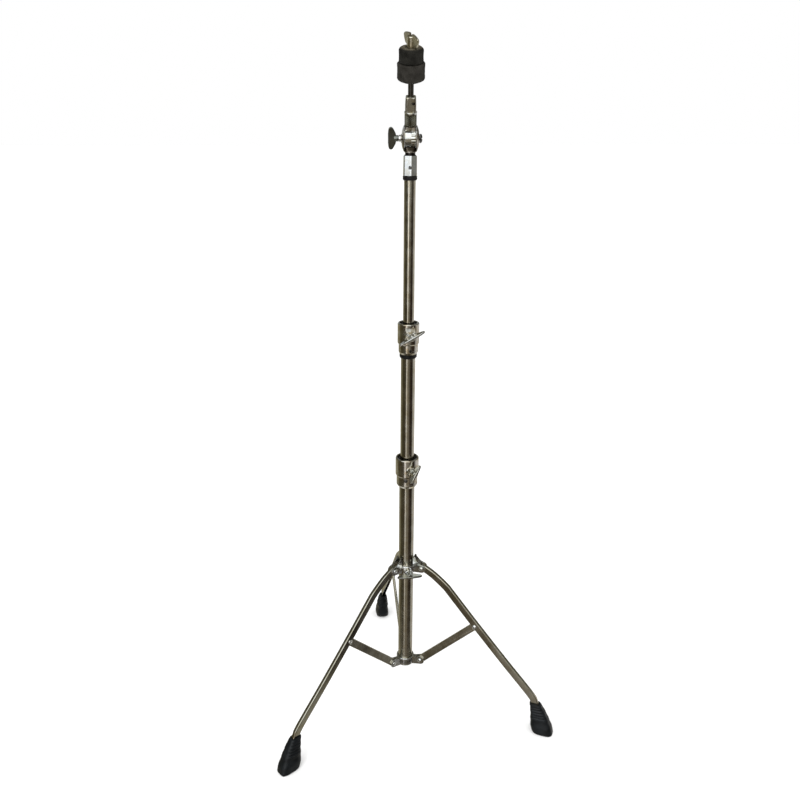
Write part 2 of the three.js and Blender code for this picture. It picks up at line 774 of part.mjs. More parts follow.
function tilterWingNut() {
  const hub = tilterNutHub / 2;
  const profile = [[0, 0], [hub, 0], [hub, tilterNutNeck], [tilterNutTip / 2, tilterNutLength],
    [0, tilterNutLength]];
  const wings = plate(wingOutline(tilterWingSpan, tilterWingDepth, wingShares), tilterWingThickness)
    .translate(0, 0, tilterNutNeck);
  const bore = rod(tilterBoltDiameter / 2 + seatGap, -cutOverrun, tilterNutBore, smallSides);
  const body = wingNutSolid(profile, wings, bore);
  const made = piece('tilter_wing_nut', body, wornNickel);
  made.rotation.set(degrees(tilterWingTurn), -Math.PI / 2, 0);
  made.position.x = -nutSeat;
  return made;
}

// The tilting arm, with its pivot at the origin and the rod along Z
function tilterArm() {
  const half = forkGap / 2 - drumPlay;
  const radius = drumDiameter / 2;
  const toothFrom = half * drumGrooveShares[1] + drumGrooveWidth / 2;
  const drum = solid(facingRight(rod(radius, -half, toothFrom + drumGrooveWidth, collarSides)));
  const rim = [];
  for (let i = 0; i < 4 * toothCount; i += 1) {
    const angle = Math.PI * i / (2 * toothCount);
    const reach = i % 4 < 2 ? radius : radius - toothDepth;
    rim.push([reach * Math.cos(angle), reach * Math.sin(angle)]);
  }
  const teeth = solid(plate(rim, half - toothFrom).rotateZ(Math.PI / 2)
    .translate((half + toothFrom) / 2, 0, 0));
  const grooves = drumGrooveShares.map((share) => solid(facingRight(ring(radius - drumGrooveDepth,
    radius + cutOverrun, half * share, half * share + drumGrooveWidth, collarSides))));
  const stem = solid(block(2 * half, armStemDepth, armBarrelStart)
    .translate(0, 0, armBarrelStart / 2 + seatGap));
  const barrel = solid(rod(armBarrelDiameter / 2, armBarrelStart, armRingStart + seatGap, collarSides));
  const band = solid(rod(armRingDiameter / 2, armRingStart, armRingStart + armRingLength, collarSides));
  const wide = armBlockWidth / 2;
  const deep = armBlockDepth / 2;
  const corner = (x, y, from) => arc([x * (wide - armBlockRound), y * (deep - armBlockRound)], armBlockRound,
    from, from + Math.PI / 2, smallSides / 4);
  const outline = [...corner(1, 1, 0), ...corner(-1, 1, Math.PI / 2), ...corner(-1, -1, Math.PI),
    ...corner(1, -1, 3 * Math.PI / 2)];
  const section = new THREE.Shape(outline.map(([x, y]) => new THREE.Vector2(x, y)));
  const head = solid(new THREE.ExtrudeGeometry(section,
    { depth: armBlockEnd - armBlockStart, bevelEnabled: false }).translate(0, 0, armBlockStart));
  const bore = solid(rod(rodDiameter / 2 + seatGap, armBlockEnd - rodSeatDepth, armBlockEnd + cutOverrun,
    smallSides));
  const boltHole = solid(facingRight(rod(tilterBoltDiameter / 2 + seatGap, -half - cutOverrun,
    half + cutOverrun, smallSides)));
  const screwHole = solid(spun(facingFront(rod(setScrewDiameter / 2 + seatGap, 0, armBlockWidth, smallSides))
    .translate(0, 0, armBlockEnd - setScrewBelowTop), setScrewTurn));
  const body = join(drum, teeth, stem, barrel, band, head);
  return piece('tilter_arm', cut(body, ...grooves, bore, boltHole, screwHole), chrome);
}

function setScrew() {
  const from = rodDiameter / 2 + seatGap;
  const body = rod(setScrewDiameter / 2, from, from + setScrewLength - setScrewSink, smallSides);
  const made = piece('rod_set_screw', solid(spun(facingFront(body), setScrewTurn)), darkSteel);
  made.position.z = armBlockEnd - setScrewBelowTop;
  return made;
}

const seatStart = rodShoulder + seatGap;
const lowerFeltBottom = seatStart + washerThickness + seatGap;
const upperFeltBottom = lowerFeltBottom + lowerFeltHeight + seatGap;
const topNutBottom = upperFeltBottom + upperFeltHeight + seatGap;
const rodEnd = topNutBottom + topNutHeight - rodBelowNutTop;

function cymbalRod() {
  const body = solid(turned([[0, armBlockEnd - rodSeatDepth + seatGap],
    [rodDiameter / 2, armBlockEnd - rodSeatDepth + seatGap], [rodDiameter / 2, rodShoulder],
    [rodThreadDiameter / 2, rodShoulder], [rodThreadDiameter / 2, rodEnd - rodChamfer],
    [rodThreadDiameter / 2 - rodChamfer, rodEnd], [0, rodEnd]], smallSides));
  return piece('cymbal_rod', body, darkSteel);
}

const threadHole = rodThreadDiameter / 2 + seatGap;

function seatWasher() {
  return piece('seat_washer', solid(ring(threadHole, washerDiameter / 2, seatStart,
    seatStart + washerThickness, collarSides)), darkSteel);
}

function rodSleeve() {
  return piece('rod_sleeve', solid(ring(threadHole, sleeveTubeDiameter / 2, lowerFeltBottom,
    topNutBottom - sleeveTubeBelowTop, smallSides)), blackNylon);
}

function felt(name, radius, bottom, height, lowRound, highRound) {
  const bore = feltBoreDiameter / 2;
  const profile = [[bore, 0],
    ...arc([radius - lowRound, lowRound], lowRound, -Math.PI / 2, 0, roundSteps),
    ...arc([radius - highRound, height - highRound], highRound, 0, Math.PI / 2, roundSteps),
    [bore, height]];
  const made = piece(name, solid(turned(profile, collarSides)), darkFelt);
  made.position.z = bottom;
  return made;
}

function topWingNut() {
  const hub = [[0, 0], [topNutHub / 2, 0], [topNutHub / 2, topNutHeight], [0, topNutHeight]];
  const wings = plate(wingOutline(topWingSpan, topNutHeight, topWingShares), topWingThickness);
  const mouth = topNutMouth / 2;
  const bore = turned([[0, -cutOverrun], [threadHole, -cutOverrun],
    [threadHole, topNutHeight - topNutMouthDepth], [mouth, topNutHeight],
    [mouth, topNutHeight + cutOverrun], [0, topNutHeight + cutOverrun]], smallSides);
  const body = wingNutSolid(hub, wings, bore);
  const made = piece('top_wing_nut', body, brassyNickel);
  made.position.z = topNutBottom;
  made.rotation.z = degrees(topWingTurn);
  return made;
}

// The stand, put together from the floor up
const stand = new THREE.Group();
stand.position.y = mastY;

Object.entries(legAngles).forEach(([side, angle]) => {
  const grip = legWidth + 2 * (earPlay + earWall);
  const braceGrip = braceWidth + 2 * (earPlay + earWall);
  const hubRivet = rivet(`hub_rivet_${side}`, grip);
  hubRivet.position.set(pivotRadius, 0, upperPivotHeight);
  const lowerRivet = rivet(`lower_rivet_${side}`, braceGrip);
  lowerRivet.position.set(pivotRadius, 0, lowerPivotHeight);
  const kneeRivet = rivet(`knee_rivet_${side}`, legWidth);
  kneeRivet.position.set(pivotRadius + braceReach, 0, elbowHeight);
  const arm = new THREE.Group();
  arm.rotation.z = degrees(angle);
  arm.add(leg(`leg_${side}`), brace(`brace_${side}`), boot(`foot_${side}`), hubRivet, lowerRivet, kneeRivet);
  stand.add(arm);
});

const hubPad = shoe('hub_shoe', hubBore);
hubPad.position.z = hubBoltHeight;
const hubStud = hubFace - hubBore - shoeThickness - seatGap;
const hubBolt = wingBolt('hub_wing_bolt', hubStud, hubWingSpan, hubWingTurn);
hubBolt.position.set(0, -hubFace, hubBoltHeight);
stand.add(lowerHub(), legHub(), hubPad, hubBolt);

stand.add(
  tube('base_tube', baseRadius, baseTubeBottom, baseTubeTop, wornNickel),
  endPlug(),
  tube('middle_tube', middleRadius, middleTubeBottom, middleTubeTop, wornNickel),
  guide('middle_tube_guide', middleRadius - tubeWall, baseRadius - tubeWall - slideGap, middleTubeBottom),
  tube('upper_tube', upperRadius, upperTubeBottom, upperTubeTop, wornNickel),
  guide('upper_tube_guide', upperRadius - tubeWall, middleRadius - tubeWall - slideGap, upperTubeBottom),
);

const lowerClamp = clampSet('lower_clamp', lowerClampSize, middleRadius,
  [clampPinHole(lowerClampSize.skirt, lowerClampRivetHeight, lowerClampRivetTurn)],
  clampPin('lower_clamp_rivet', lowerClampSize.skirt, lowerClampRivetHeight, lowerClampRivetTurn, true),
  { span: lowerWingSpan, turn: lowerWingTurn });
lowerClamp.position.z = lowerClampBottom;
lowerClamp.rotation.z = degrees(lowerClampTurn);

const upperClamp = clampSet('upper_clamp', upperClampSize, upperRadius,
  [clampPinHole(upperClampSize.skirt, upperClampPinHeight, upperClampPinTurn)],
  clampPin('upper_clamp_pin', upperClampSize.skirt, upperClampPinHeight, upperClampPinTurn, false),
  { span: upperWingSpan, turn: upperWingTurn });
upperClamp.position.z = upperClampBottom;

const clampRing = stopRing('upper_clamp_ring', upperClampSize.bore, upperClampSize.bore + upperRingLipWall,
  upperClampSize.lip, upperRingLength);
clampRing.position.z = upperRingBottom;
const tubeRing = stopRing('upper_tube_ring', stopRingBore, stopRingBore + stopRingLipWall,
  stopRingBore + stopRingWall, stopRingLength);
tubeRing.position.z = stopRingBottom;
stand.add(lowerClamp, upperClamp, clampRing, tubeRing);

const head = new THREE.Group();
head.rotation.z = degrees(headTurn);
const sleevePiece = sleeve();
sleevePiece.position.z = sleeveBottom;
const sleeveBolt = keyBolt();
sleeveBolt.position.z = sleeveBottom + keyBoltHeight;
const fork = new THREE.Group();
fork.position.z = tiltPivotHeight;
fork.add(tilterBase(), tilterBolt(), tilterWasher(), tilterWingNut());
const arm = new THREE.Group();
arm.rotation.x = degrees(tiltAngle);
arm.add(tilterArm(), setScrew(), cymbalRod(), seatWasher(), rodSleeve(), topWingNut(),
  felt('lower_felt', lowerFeltDiameter / 2, lowerFeltBottom, lowerFeltHeight, feltRound, feltRound / 2),
  felt('upper_felt', upperFeltDiameter / 2, upperFeltBottom, upperFeltHeight, feltRound / 2, upperFeltRound));
fork.add(arm);
head.add(sleevePiece, sleeveBolt, fork);
stand.add(head);

export default stand;
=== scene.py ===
# Straight cymbal stand: smooth plated tubes, castings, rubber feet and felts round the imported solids.
# Pieces are built in millimetres in the frame of what carries them, then placed in metres.
import json
import math
from functools import partial

import bmesh
import bpy
from mathutils import Matrix, Vector, noise


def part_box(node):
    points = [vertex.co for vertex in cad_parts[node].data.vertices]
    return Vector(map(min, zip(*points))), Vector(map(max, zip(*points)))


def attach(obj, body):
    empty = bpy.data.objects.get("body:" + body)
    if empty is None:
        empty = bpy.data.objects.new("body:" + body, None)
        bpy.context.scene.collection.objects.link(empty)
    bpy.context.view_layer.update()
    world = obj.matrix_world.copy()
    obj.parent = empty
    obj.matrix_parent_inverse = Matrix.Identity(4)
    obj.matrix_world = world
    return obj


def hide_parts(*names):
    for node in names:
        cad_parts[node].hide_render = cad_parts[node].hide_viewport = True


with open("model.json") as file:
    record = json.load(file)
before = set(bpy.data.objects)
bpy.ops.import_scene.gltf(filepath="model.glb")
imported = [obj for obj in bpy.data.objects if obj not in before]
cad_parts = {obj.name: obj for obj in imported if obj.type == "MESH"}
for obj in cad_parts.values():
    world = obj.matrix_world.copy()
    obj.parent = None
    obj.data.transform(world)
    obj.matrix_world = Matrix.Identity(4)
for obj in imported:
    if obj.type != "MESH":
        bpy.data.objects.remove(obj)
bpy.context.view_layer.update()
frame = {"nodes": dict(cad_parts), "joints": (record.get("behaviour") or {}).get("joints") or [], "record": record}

record = frame["record"]
joints = {joint["name"]: joint for joint in frame["joints"]}
slot_of = {part["node"]: part["material_slot"] for part in record["subparts"]}
body_of = {node: body for body, nodes in record["behaviour"]["bodies"].items() for node in nodes}

MM = 0.001
MICRON = 0.000001
SMALL_SIDES = 48
SIDES = 96
FINE_SIDES = 240
ON_AXIS = 1e-6
OVERRUN = 2
GAP = 0.3

# Sizes that several pieces share, in millimetres
TUBE_WALL = 1.2
COLLAR_WALL = 3
RIVET_RADIUS = 2.5
STUD_RADIUS = 4
BOLT_RADIUS = 3
SHOE_THICKNESS = 1.6
LEG_DEPTH = 13.5
LEG_WIDTH = 8
BRACE_WIDTH = 4.2
FOOT_RADIUS = 288
SIDE_AZIMUTHS = {"left": 210, "right": 330, "rear": 90}


# Frames of the things that carry pieces
def point(joint):
    return Vector(joints[joint]["pos_m"]) / MM


def axis(joint):
    return Vector(joints[joint]["axis"])


def cad(node):
    """Lowest and highest corner of a solid, in millimetres."""
    low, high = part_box(node)
    return low / MM, high / MM


def radius_of(node):
    low, high = cad(node)
    return (high.x - low.x) / 2


def turn(degrees, about="Z"):
    return Matrix.Rotation(math.radians(degrees), 4, about)


def shift(x=0, y=0, z=0):
    return Matrix.Translation((x, y, z))


def front_turn(joint):
    """How far a bolt's direction is turned from the front, in degrees."""
    along = axis(joint)
    return math.degrees(math.atan2(along.x, -along.y))


TILT_PIVOT = point("tilt")
MAST = shift(TILT_PIVOT.x, TILT_PIVOT.y)
FACING_FRONT = turn(90, "X")
FACING_RIGHT = turn(90, "Y")
FACING_LEFT = turn(-90, "Y")
LOWER_CLAMP_TURN = turn(front_turn("lower_clamp_wing_bolt_spin"))
LOWER_CLAMP_FRAME = MAST @ LOWER_CLAMP_TURN @ shift(z=cad("lower_clamp")[0].z)
UPPER_CLAMP_FRAME = MAST @ shift(z=cad("upper_clamp")[0].z)
HEAD_FRAME = MAST @ turn(front_turn("sleeve_key_bolt_spin"))
FORK_FRAME = HEAD_FRAME @ shift(z=TILT_PIVOT.z)
TILT_ANGLE = math.degrees(math.acos(axis("upper_felt_lift").z))
ARM_FRAME = FORK_FRAME @ turn(TILT_ANGLE, "X")
SLEEVE_TOP = cad("tilter_sleeve")[1].z - TILT_PIVOT.z
BASE_RADIUS = radius_of("base_tube")
MIDDLE_RADIUS = radius_of("middle_tube")
UPPER_RADIUS = radius_of("upper_tube")
HUB_BORE = BASE_RADIUS + GAP
LOWER_PIVOT = point("leg_fold").z
UPPER_PIVOT = point("rear_hub_pivot").z
PIVOT_RADIUS = point("leg_fold").y - TILT_PIVOT.y
KNEE_RADIUS = point("rear_knee").y - TILT_PIVOT.y
KNEE_HEIGHT = point("rear_knee").z


def side_frame(side):
    return MAST @ turn(SIDE_AZIMUTHS[side])


# Outlines
def near(out, up, offsets):
    """Points set off from a corner."""
    return [(out + aside, up + above) for aside, above in offsets]


def flank(radius, low, high, edge, rise=None):
    """The side of a turned piece, with a slanted edge at each end."""
    rise = rise or edge
    return [(radius - edge, low), (radius, low + rise), (radius, high - rise), (radius - edge, high)]


def mirrored(points):
    """The same points at the other side of the first axis, in reverse."""
    return [(x, -y) for x, y in reversed(points)]


def arc(centre, radius, start, end, steps):
    """Points of an arc, with its angles in degrees."""
    points = []
    for i in range(steps + 1):
        angle = math.radians(start + (end - start) * i / steps)
        points.append((centre[0] + radius * math.cos(angle), centre[1] + radius * math.sin(angle)))
    return points


def catmull(p0, p1, p2, p3, t):
    """A point between the two middle knots of a smooth line."""
    v0, v1 = (p2 - p0) / 2, (p3 - p1) / 2
    return (2 * p1 - 2 * p2 + v0 + v1) * t ** 3 + (-3 * p1 + 3 * p2 - 2 * v0 - v1) * t ** 2 + v0 * t + p1


def rounded(points, steps):
    """A closed smooth line through points."""
    spots = [Vector(p) for p in points]
    count = len(spots)
    line = []
    for i in range(count):
        corners = [spots[(i + k) % count] for k in (-1, 0, 1, 2)]
        line += [tuple(catmull(*corners, step / steps)) for step in range(steps)]
    return line


def superellipse(width, depth, squareness, count):
    """Points of a rounded rectangle."""
    points = []
    for i in range(count):
        angle = 2 * math.pi * i / count
        x, y = math.cos(angle), math.sin(angle)
        reach = (abs(x) ** squareness + abs(y) ** squareness) ** (-1 / squareness)
        points.append((width / 2 * reach * x, depth / 2 * reach * y))
    return points


# Building meshes
def make(build):
    """An object from a bmesh, with its faces pointing out."""
    bmesh.ops.recalc_face_normals(build, faces=build.faces)
    mesh = bpy.data.meshes.new("piece")
    build.to_mesh(mesh)
    build.free()
    made = bpy.data.objects.new("piece", mesh)
    bpy.context.scene.collection.objects.link(made)
    return made


def skin(rings):
    """A solid through rings of the same count, with a cap on each end."""
    build = bmesh.new()
    made = [[build.verts.new(spot) for spot in ring] for ring in rings]
    count = len(made[0])
    for low, high in zip(made, made[1:]):
        for i in range(count):
            j = (i + 1) % count
            build.faces.new((low[i], low[j], high[j], high[i]))
    build.faces.new(reversed(made[0]))
    build.faces.new(made[-1])
    return make(build)


def lathe(profile, sides=SIDES, shape=None):
    """A turned solid about Z. Its profile starts and ends on the axis, or closes on itself."""
    build = bmesh.new()
    rings = []
    for radius, height in profile:
        if radius < ON_AXIS:
            rings.append([build.verts.new((0, 0, height))])
            continue
        ring = []
        for i in range(sides):
            angle = 2 * math.pi * i / sides
            reach = shape(radius, angle, height) if shape else radius
            ring.append(build.verts.new((reach * math.cos(angle), reach * math.sin(angle), height)))
        rings.append(ring)
    loops = all(len(ring) > 1 for ring in rings)
    for index in range(len(rings) if loops else len(rings) - 1):
        low, high = rings[index], rings[(index + 1) % len(rings)]
        for i in range(sides):
            j = (i + 1) % sides
            corners = [low[i % len(low)], low[j % len(low)], high[j % len(high)], high[i % len(high)]]
            corners = list(dict.fromkeys(corners))
            if len(corners) > 2:
                build.faces.new(corners)
    return make(build)


def ring(bore, outline, sides=SIDES, shape=None):
    """A turned solid with flat ends round a bore."""
    return lathe([(bore, outline[0][1]), *outline, (bore, outline[-1][1])], sides, shape)


solid = partial(ring, 0)


def pin(radius, low, high, sides=SMALL_SIDES):
    return solid([(radius, low), (radius, high)], sides)


def prism(outline, low, high):
    """An outline in the XZ plane, drawn out along Y."""
    return skin([[(x, y, z) for x, z in outline] for y in (low, high)])


def block(low, high):
    outline = [(low[0], low[2]), (high[0], low[2]), (high[0], high[2]), (low[0], high[2])]
    return prism(outline, low[1], high[1])


def loft(sections, count=SMALL_SIDES):
    """A solid through rounded rectangles: width, depth, squareness and height of each."""
    rings = []
    for width, depth, squareness, height in sections:
        rings.append([(x, y, height) for x, y in superellipse(width, depth, squareness, count)])
    return skin(rings)


def placed(body, matrix):
    body.data.transform(matrix)
    return body


def settle(body):
    """Apply a body's modifiers."""
    graph = bpy.context.evaluated_depsgraph_get()
    mesh = bpy.data.meshes.new_from_object(body.evaluated_get(graph))
    body.modifiers.clear()
    body.data = mesh
    return body


def combine(operation, body, *others):
    for other in others:
        modifier = body.modifiers.new("combine", "BOOLEAN")
        modifier.operation = operation
        modifier.solver = "MANIFOLD"
        modifier.object = other
        settle(body)
        bpy.data.objects.remove(other)
    return body


join = partial(combine, "UNION")
cut = partial(combine, "DIFFERENCE")

# Edge angles, in degrees, above which an edge is rounded, and the segments of rounder edges
PLAIN_ANGLE = 35
BROAD_ANGLE = 40
CAST_ANGLE = 50
BOOT_ANGLE = 55
ROUNDER = 3
ROUNDEST = 4


def soften(body, width, segments=2, angle=PLAIN_ANGLE):
    """Round the edges that are sharper than an angle."""
    modifier = body.modifiers.new("soften", "BEVEL")
    modifier.width = width
    modifier.segments = segments
    modifier.limit_method = "ANGLE"
    modifier.angle_limit = math.radians(angle)
    return settle(body)


# Shader nodes
MIX_FACTOR, MIX_FIRST, MIX_SECOND, MIX_RESULT = 0, 6, 7, 2
NOISE_RANGE = (0.3, 0.7)


def feed(tree, node, sockets):
    """Give a node's sockets values, or links from other nodes."""
    for name, value in sockets.items():
        if isinstance(value, bpy.types.NodeSocket):
            tree.links.new(value, node.inputs[name])
        else:
            node.inputs[name].default_value = value
    return node


def add(tree, kind, sockets, **settings):
    made = tree.nodes.new("ShaderNode" + kind)
    for name, value in settings.items():
        setattr(made, name, value)
    return feed(tree, made, sockets)


def start_material(name, metallic, roughness):
    made = bpy.data.materials.new(name)
    made.use_nodes = True
    shader = made.node_tree.nodes["Principled BSDF"]
    feed(made.node_tree, shader, {"Metallic": metallic, "Roughness": roughness})
    return made, made.node_tree, shader


def place_in(tree, kind):
    return add(tree, "TexCoord", {}).outputs[kind]


def pattern(tree, scale, detail, stretch=(1, 1, 1), roughness=0.5):
    """Noise over the row frame, with its scale in lumps per metre."""
    mapping = add(tree, "Mapping", {"Vector": place_in(tree, "Object"), "Scale": stretch})
    sockets = {"Vector": mapping.outputs["Vector"], "Scale": scale, "Detail": detail, "Roughness": roughness}
    return add(tree, "TexNoise", sockets).outputs["Fac"]


def ramp(tree, value, stops):
    """A value sent through stops of position and colour."""
    made = add(tree, "ValToRGB", {"Fac": value})
    band = made.color_ramp
    for element, (position, colour) in zip(band.elements, (stops[0], stops[-1])):
        element.position, element.color = position, (*colour, 1)
    for position, colour in stops[1:-1]:
        band.elements.new(position).color = (*colour, 1)
    return made.outputs["Color"]


def two_tone(tree, value, limits, first, second):
    return ramp(tree, value, list(zip(limits, (first, second))))


def spread(tree, value, limits, low=0.0, high=1.0):
    """A value between two limits, brought between two others."""
    sockets = {"Value": value, "From Min": limits[0], "From Max": limits[1], "To Min": low, "To Max": high}
    return add(tree, "MapRange", sockets).outputs["Result"]


def mixed(tree, factor, first, second, blend="MIX"):
    sockets = {MIX_FACTOR: factor, MIX_FIRST: first, MIX_SECOND: second}
    return add(tree, "Mix", sockets, data_type="RGBA", blend_type=blend).outputs[MIX_RESULT]


def times(tree, first, second, factor=1.0):
    return mixed(tree, factor, first, second, "MULTIPLY")


def bump(tree, shader, height, relief, under=None):
    """Surface relief in micrometres, on top of another where there is one."""
    sockets = {"Distance": relief * MICRON, "Strength": 1.0, "Height": height}
    if under:
        sockets["Normal"] = under
    normal = add(tree, "Bump", sockets).outputs["Normal"]
    feed(tree, shader, {"Normal": normal})
    return normal


def by_height(tree, place, stops):
    """Tones by height in a frame, in millimetres."""
    along = place.to_3x3() @ Vector((0, 0, 1))
    reach = add(tree, "VectorMath", {0: place_in(tree, "Object"), 1: along}, operation="DOT_PRODUCT")
    base, low, high = place.translation.dot(along), stops[0][0], stops[-1][0]
    share = spread(tree, reach.outputs["Value"], ((base + low) * MM, (base + high) * MM))
    return ramp(tree, share, [((height - low) / (high - low), tone) for height, tone in stops])


# Plated metal: lumps per metre and detail of each pattern, its limits, and how far pits and streaks count
CLOUDS = (38, 5)
SPECKS = (900, 3)
STAINS = (130, 3)
STREAKS = (1500, 2)
RIPPLES = (70, 1)
UPRIGHT = (1, 1, 0.03)
CLOUD_LIMITS = (0.32, 0.68)
STAIN_LIMITS = (0.44, 0.64)
PIT_LIMITS = (0.3, 0.42)
PIT_SHARE = 0.35
STREAK_SHARE = 0.45
WHITE = (1, 1, 1)
PIT = (0.55, 0.52, 0.46)
PALE_STAIN = (0.94, 0.9, 0.82)


def plated(name, dark, light, smooth, worn, wave, scratch, stain=PALE_STAIN, painted_light_and_shade=None):
    """Plated metal with cloudy tarnish, brown stains, fine upright scratches and a slightly wavy surface, and
    where given, painted light and shade by height.
    """
    made, tree, shader = start_material(name, 1.0, smooth)
    clouds = pattern(tree, *CLOUDS)
    stains = two_tone(tree, pattern(tree, *STAINS), STAIN_LIMITS, WHITE, stain)
    tone = times(tree, two_tone(tree, clouds, CLOUD_LIMITS, dark, light), stains)
    # Painted light and shade: where given, tones by height in a frame multiply the colour
    if painted_light_and_shade:
        tone = times(tree, tone, by_height(tree, *painted_light_and_shade))
    pits = two_tone(tree, pattern(tree, *SPECKS), PIT_LIMITS, PIT, WHITE)
    streaks = pattern(tree, *STREAKS, UPRIGHT)
    wear = spread(tree, mixed(tree, STREAK_SHARE, clouds, streaks), NOISE_RANGE, smooth, worn)
    feed(tree, shader, {"Base Color": times(tree, tone, pits, PIT_SHARE), "Roughness": wear})
    ripple = bump(tree, shader, pattern(tree, *RIPPLES), wave)
    bump(tree, shader, streaks, scratch, ripple)
    return made


# Moulded plastic and rubber
BLOOM = (60, 5)
BLOOM_LIMITS = (0.35, 0.7)
GRAIN_DETAIL = 3
MOULDED_SMOOTH, MOULDED_WORN = 0.3, 0.55


def moulded(name, dark, light, grain, depth, gloss):
    """Moulded plastic or rubber with a fine grain and a dusty bloom."""
    made, tree, shader = start_material(name, 0.0, MOULDED_WORN)
    clouds = pattern(tree, *BLOOM)
    tone = two_tone(tree, clouds, BLOOM_LIMITS, dark, light)
    worn = spread(tree, clouds, NOISE_RANGE, MOULDED_SMOOTH, MOULDED_WORN)
    feed(tree, shader, {"Base Color": tone, "Roughness": worn, "Specular IOR Level": gloss})
    bump(tree, shader, pattern(tree, grain, GRAIN_DETAIL), depth)
    return made


# Pressed wool
WOOL_CLOUDS = (90, 4)
WOOL_LIMITS = (0.3, 0.7)
# How far up a face must point to get the painted light from above, with some dust
TOP_LIGHT_LIMITS = (0.6, 0.93)
FIBRES = (1400, 6)
FIBRE_STRETCH = (1, 1, 2.2)
FIBRE_ROUGHNESS = 0.7
LINT = [(0.35, (0.4, 0.38, 0.36)), (0.62, WHITE), (0.75, (2.1, 2.0, 1.9))]
LINT_SHARE = 0.8
WOOL_ROUGHNESS = 0.95
WOOL_GLOSS = 0.08
FIBRE_RELIEF = 500


def felted(name, dark, light, top_light_and_dust):
    """Pressed wool with short fibres lying all ways, and lighter on top: painted light from above, with some dust.
    """
    made, tree, shader = start_material(name, 0.0, WOOL_ROUGHNESS)
    fibres = pattern(tree, *FIBRES, FIBRE_STRETCH, FIBRE_ROUGHNESS)
    tone = two_tone(tree, pattern(tree, *WOOL_CLOUDS), WOOL_LIMITS, dark, light)
    # Painted light: faces that point up are made lighter, as if lit from above, with some dust on top
    facing = add(tree, "SeparateXYZ", {"Vector": place_in(tree, "Normal")})
    lit_top_and_dust = two_tone(tree, facing.outputs["Z"], TOP_LIGHT_LIMITS, WHITE, top_light_and_dust)
    tone = times(tree, times(tree, tone, ramp(tree, fibres, LINT), LINT_SHARE), lit_top_and_dust)
    feed(tree, shader, {"Base Color": tone, "Specular IOR Level": WOOL_GLOSS})
    bump(tree, shader, fibres, FIBRE_RELIEF)
    return made


# Painted light and shade along the arm and up the fork, by height in millimetres
DRUM_PAINTED_SHADE = (0.12, 0.11, 0.09)
BARREL_PAINTED_SHADE = (0.19, 0.18, 0.14)
BLOCK_PAINTED_SHADE = (0.66, 0.63, 0.55)
# Painted shade: the drum's underside, the knurl of the barrel and the block are darkened; the drum's top and the
# bead keep their colour
ARM_PAINTED_SHADE = [(-16, DRUM_PAINTED_SHADE), (-9, DRUM_PAINTED_SHADE), (-6.5, WHITE), (18.5, WHITE), (20.5, BARREL_PAINTED_SHADE),
             (39.6, BARREL_PAINTED_SHADE), (40.2, WHITE), (42.6, WHITE), (43, BLOCK_PAINTED_SHADE), (66, BLOCK_PAINTED_SHADE)]
# Painted shadow in the fork's waist over the sleeve, a bright band above it kept as a painted highlight, then
# painted shade that lightens up the fork
NECK_PAINTED_SHADOW = (0.05, 0.045, 0.04)
FORK_PAINTED_LIGHT_AND_SHADE = [(SLEEVE_TOP - 40, NECK_PAINTED_SHADOW), (SLEEVE_TOP + 4, NECK_PAINTED_SHADOW), (SLEEVE_TOP + 4.5, WHITE),
              (SLEEVE_TOP + 5.6, WHITE), (SLEEVE_TOP + 6.2, (0.2, 0.17, 0.13)), (-15, (0.13, 0.115, 0.095)),
              (-11.5, (0.5, 0.46, 0.4)), (-4, (0.75, 0.72, 0.68)), (22, (0.85, 0.85, 0.85))]

# Plated looks: name, dark and light colour, smooth and worn roughness, waves and scratches in micrometres,
# and for some a stain and painted light and shade by height
METALS = {
    "nickel_tube": ("worn nickel", (0.42, 0.4, 0.33), (0.56, 0.54, 0.47), 0.09, 0.26, 60, 4),
    "leg_nickel": ("worn nickel legs", (0.36, 0.34, 0.27), (0.48, 0.46, 0.39), 0.07, 0.18, 60, 4),
    "chrome_casting": ("chromed casting", (0.52, 0.5, 0.44), (0.68, 0.67, 0.63), 0.09, 0.24, 160, 3,
                       (0.77, 0.68, 0.53)),
    "bright_chrome": ("bright chrome", (0.6, 0.61, 0.6), (0.8, 0.81, 0.82), 0.06, 0.2, 90, 3),
    "brassy_nickel": ("warm nickel casting", (0.56, 0.52, 0.39), (0.8, 0.76, 0.62), 0.2, 0.42, 250, 6),
    "grey_nickel": ("grey nickel casting", (0.5, 0.5, 0.46), (0.74, 0.74, 0.72), 0.12, 0.3, 200, 4),
    "hub_nickel": ("dull nickel casting", (0.28, 0.28, 0.25), (0.44, 0.45, 0.42), 0.12, 0.28, 200, 4),
    "satin_chrome": ("satin chromed sleeve", (0.8, 0.82, 0.83), (0.94, 0.96, 0.98), 0.12, 0.22, 60, 3),
    "arm_chrome": ("chromed arm", (0.66, 0.66, 0.63), (0.86, 0.88, 0.88), 0.12, 0.24, 100, 3,
                   (0.86, 0.8, 0.68), (ARM_FRAME, ARM_PAINTED_SHADE)),
    "fork_chrome": ("chromed fork", (0.56, 0.55, 0.53), (0.76, 0.76, 0.76), 0.1, 0.24, 100, 3,
                    (0.84, 0.76, 0.62), (FORK_FRAME, FORK_PAINTED_LIGHT_AND_SHADE)),
    "olive_nickel": ("dull olive nickel", (0.1, 0.104, 0.09), (0.19, 0.2, 0.185), 0.12, 0.26, 120, 6),
    "dark_steel": ("dull steel", (0.07, 0.068, 0.062), (0.15, 0.147, 0.14), 0.22, 0.4, 80, 6),
}

# Moulded looks: name, dark and light colour, lumps per metre and depth of the grain, and gloss
MOULDED = {
    "black_nylon": ("black nylon", (0.004, 0.004, 0.004), (0.012, 0.0105, 0.01), 1200, 40, 0.2),
    "black_rubber": ("black rubber", (0.0016, 0.0023, 0.0031), (0.0062, 0.0082, 0.0098), 1600, 80, 0.3),
}

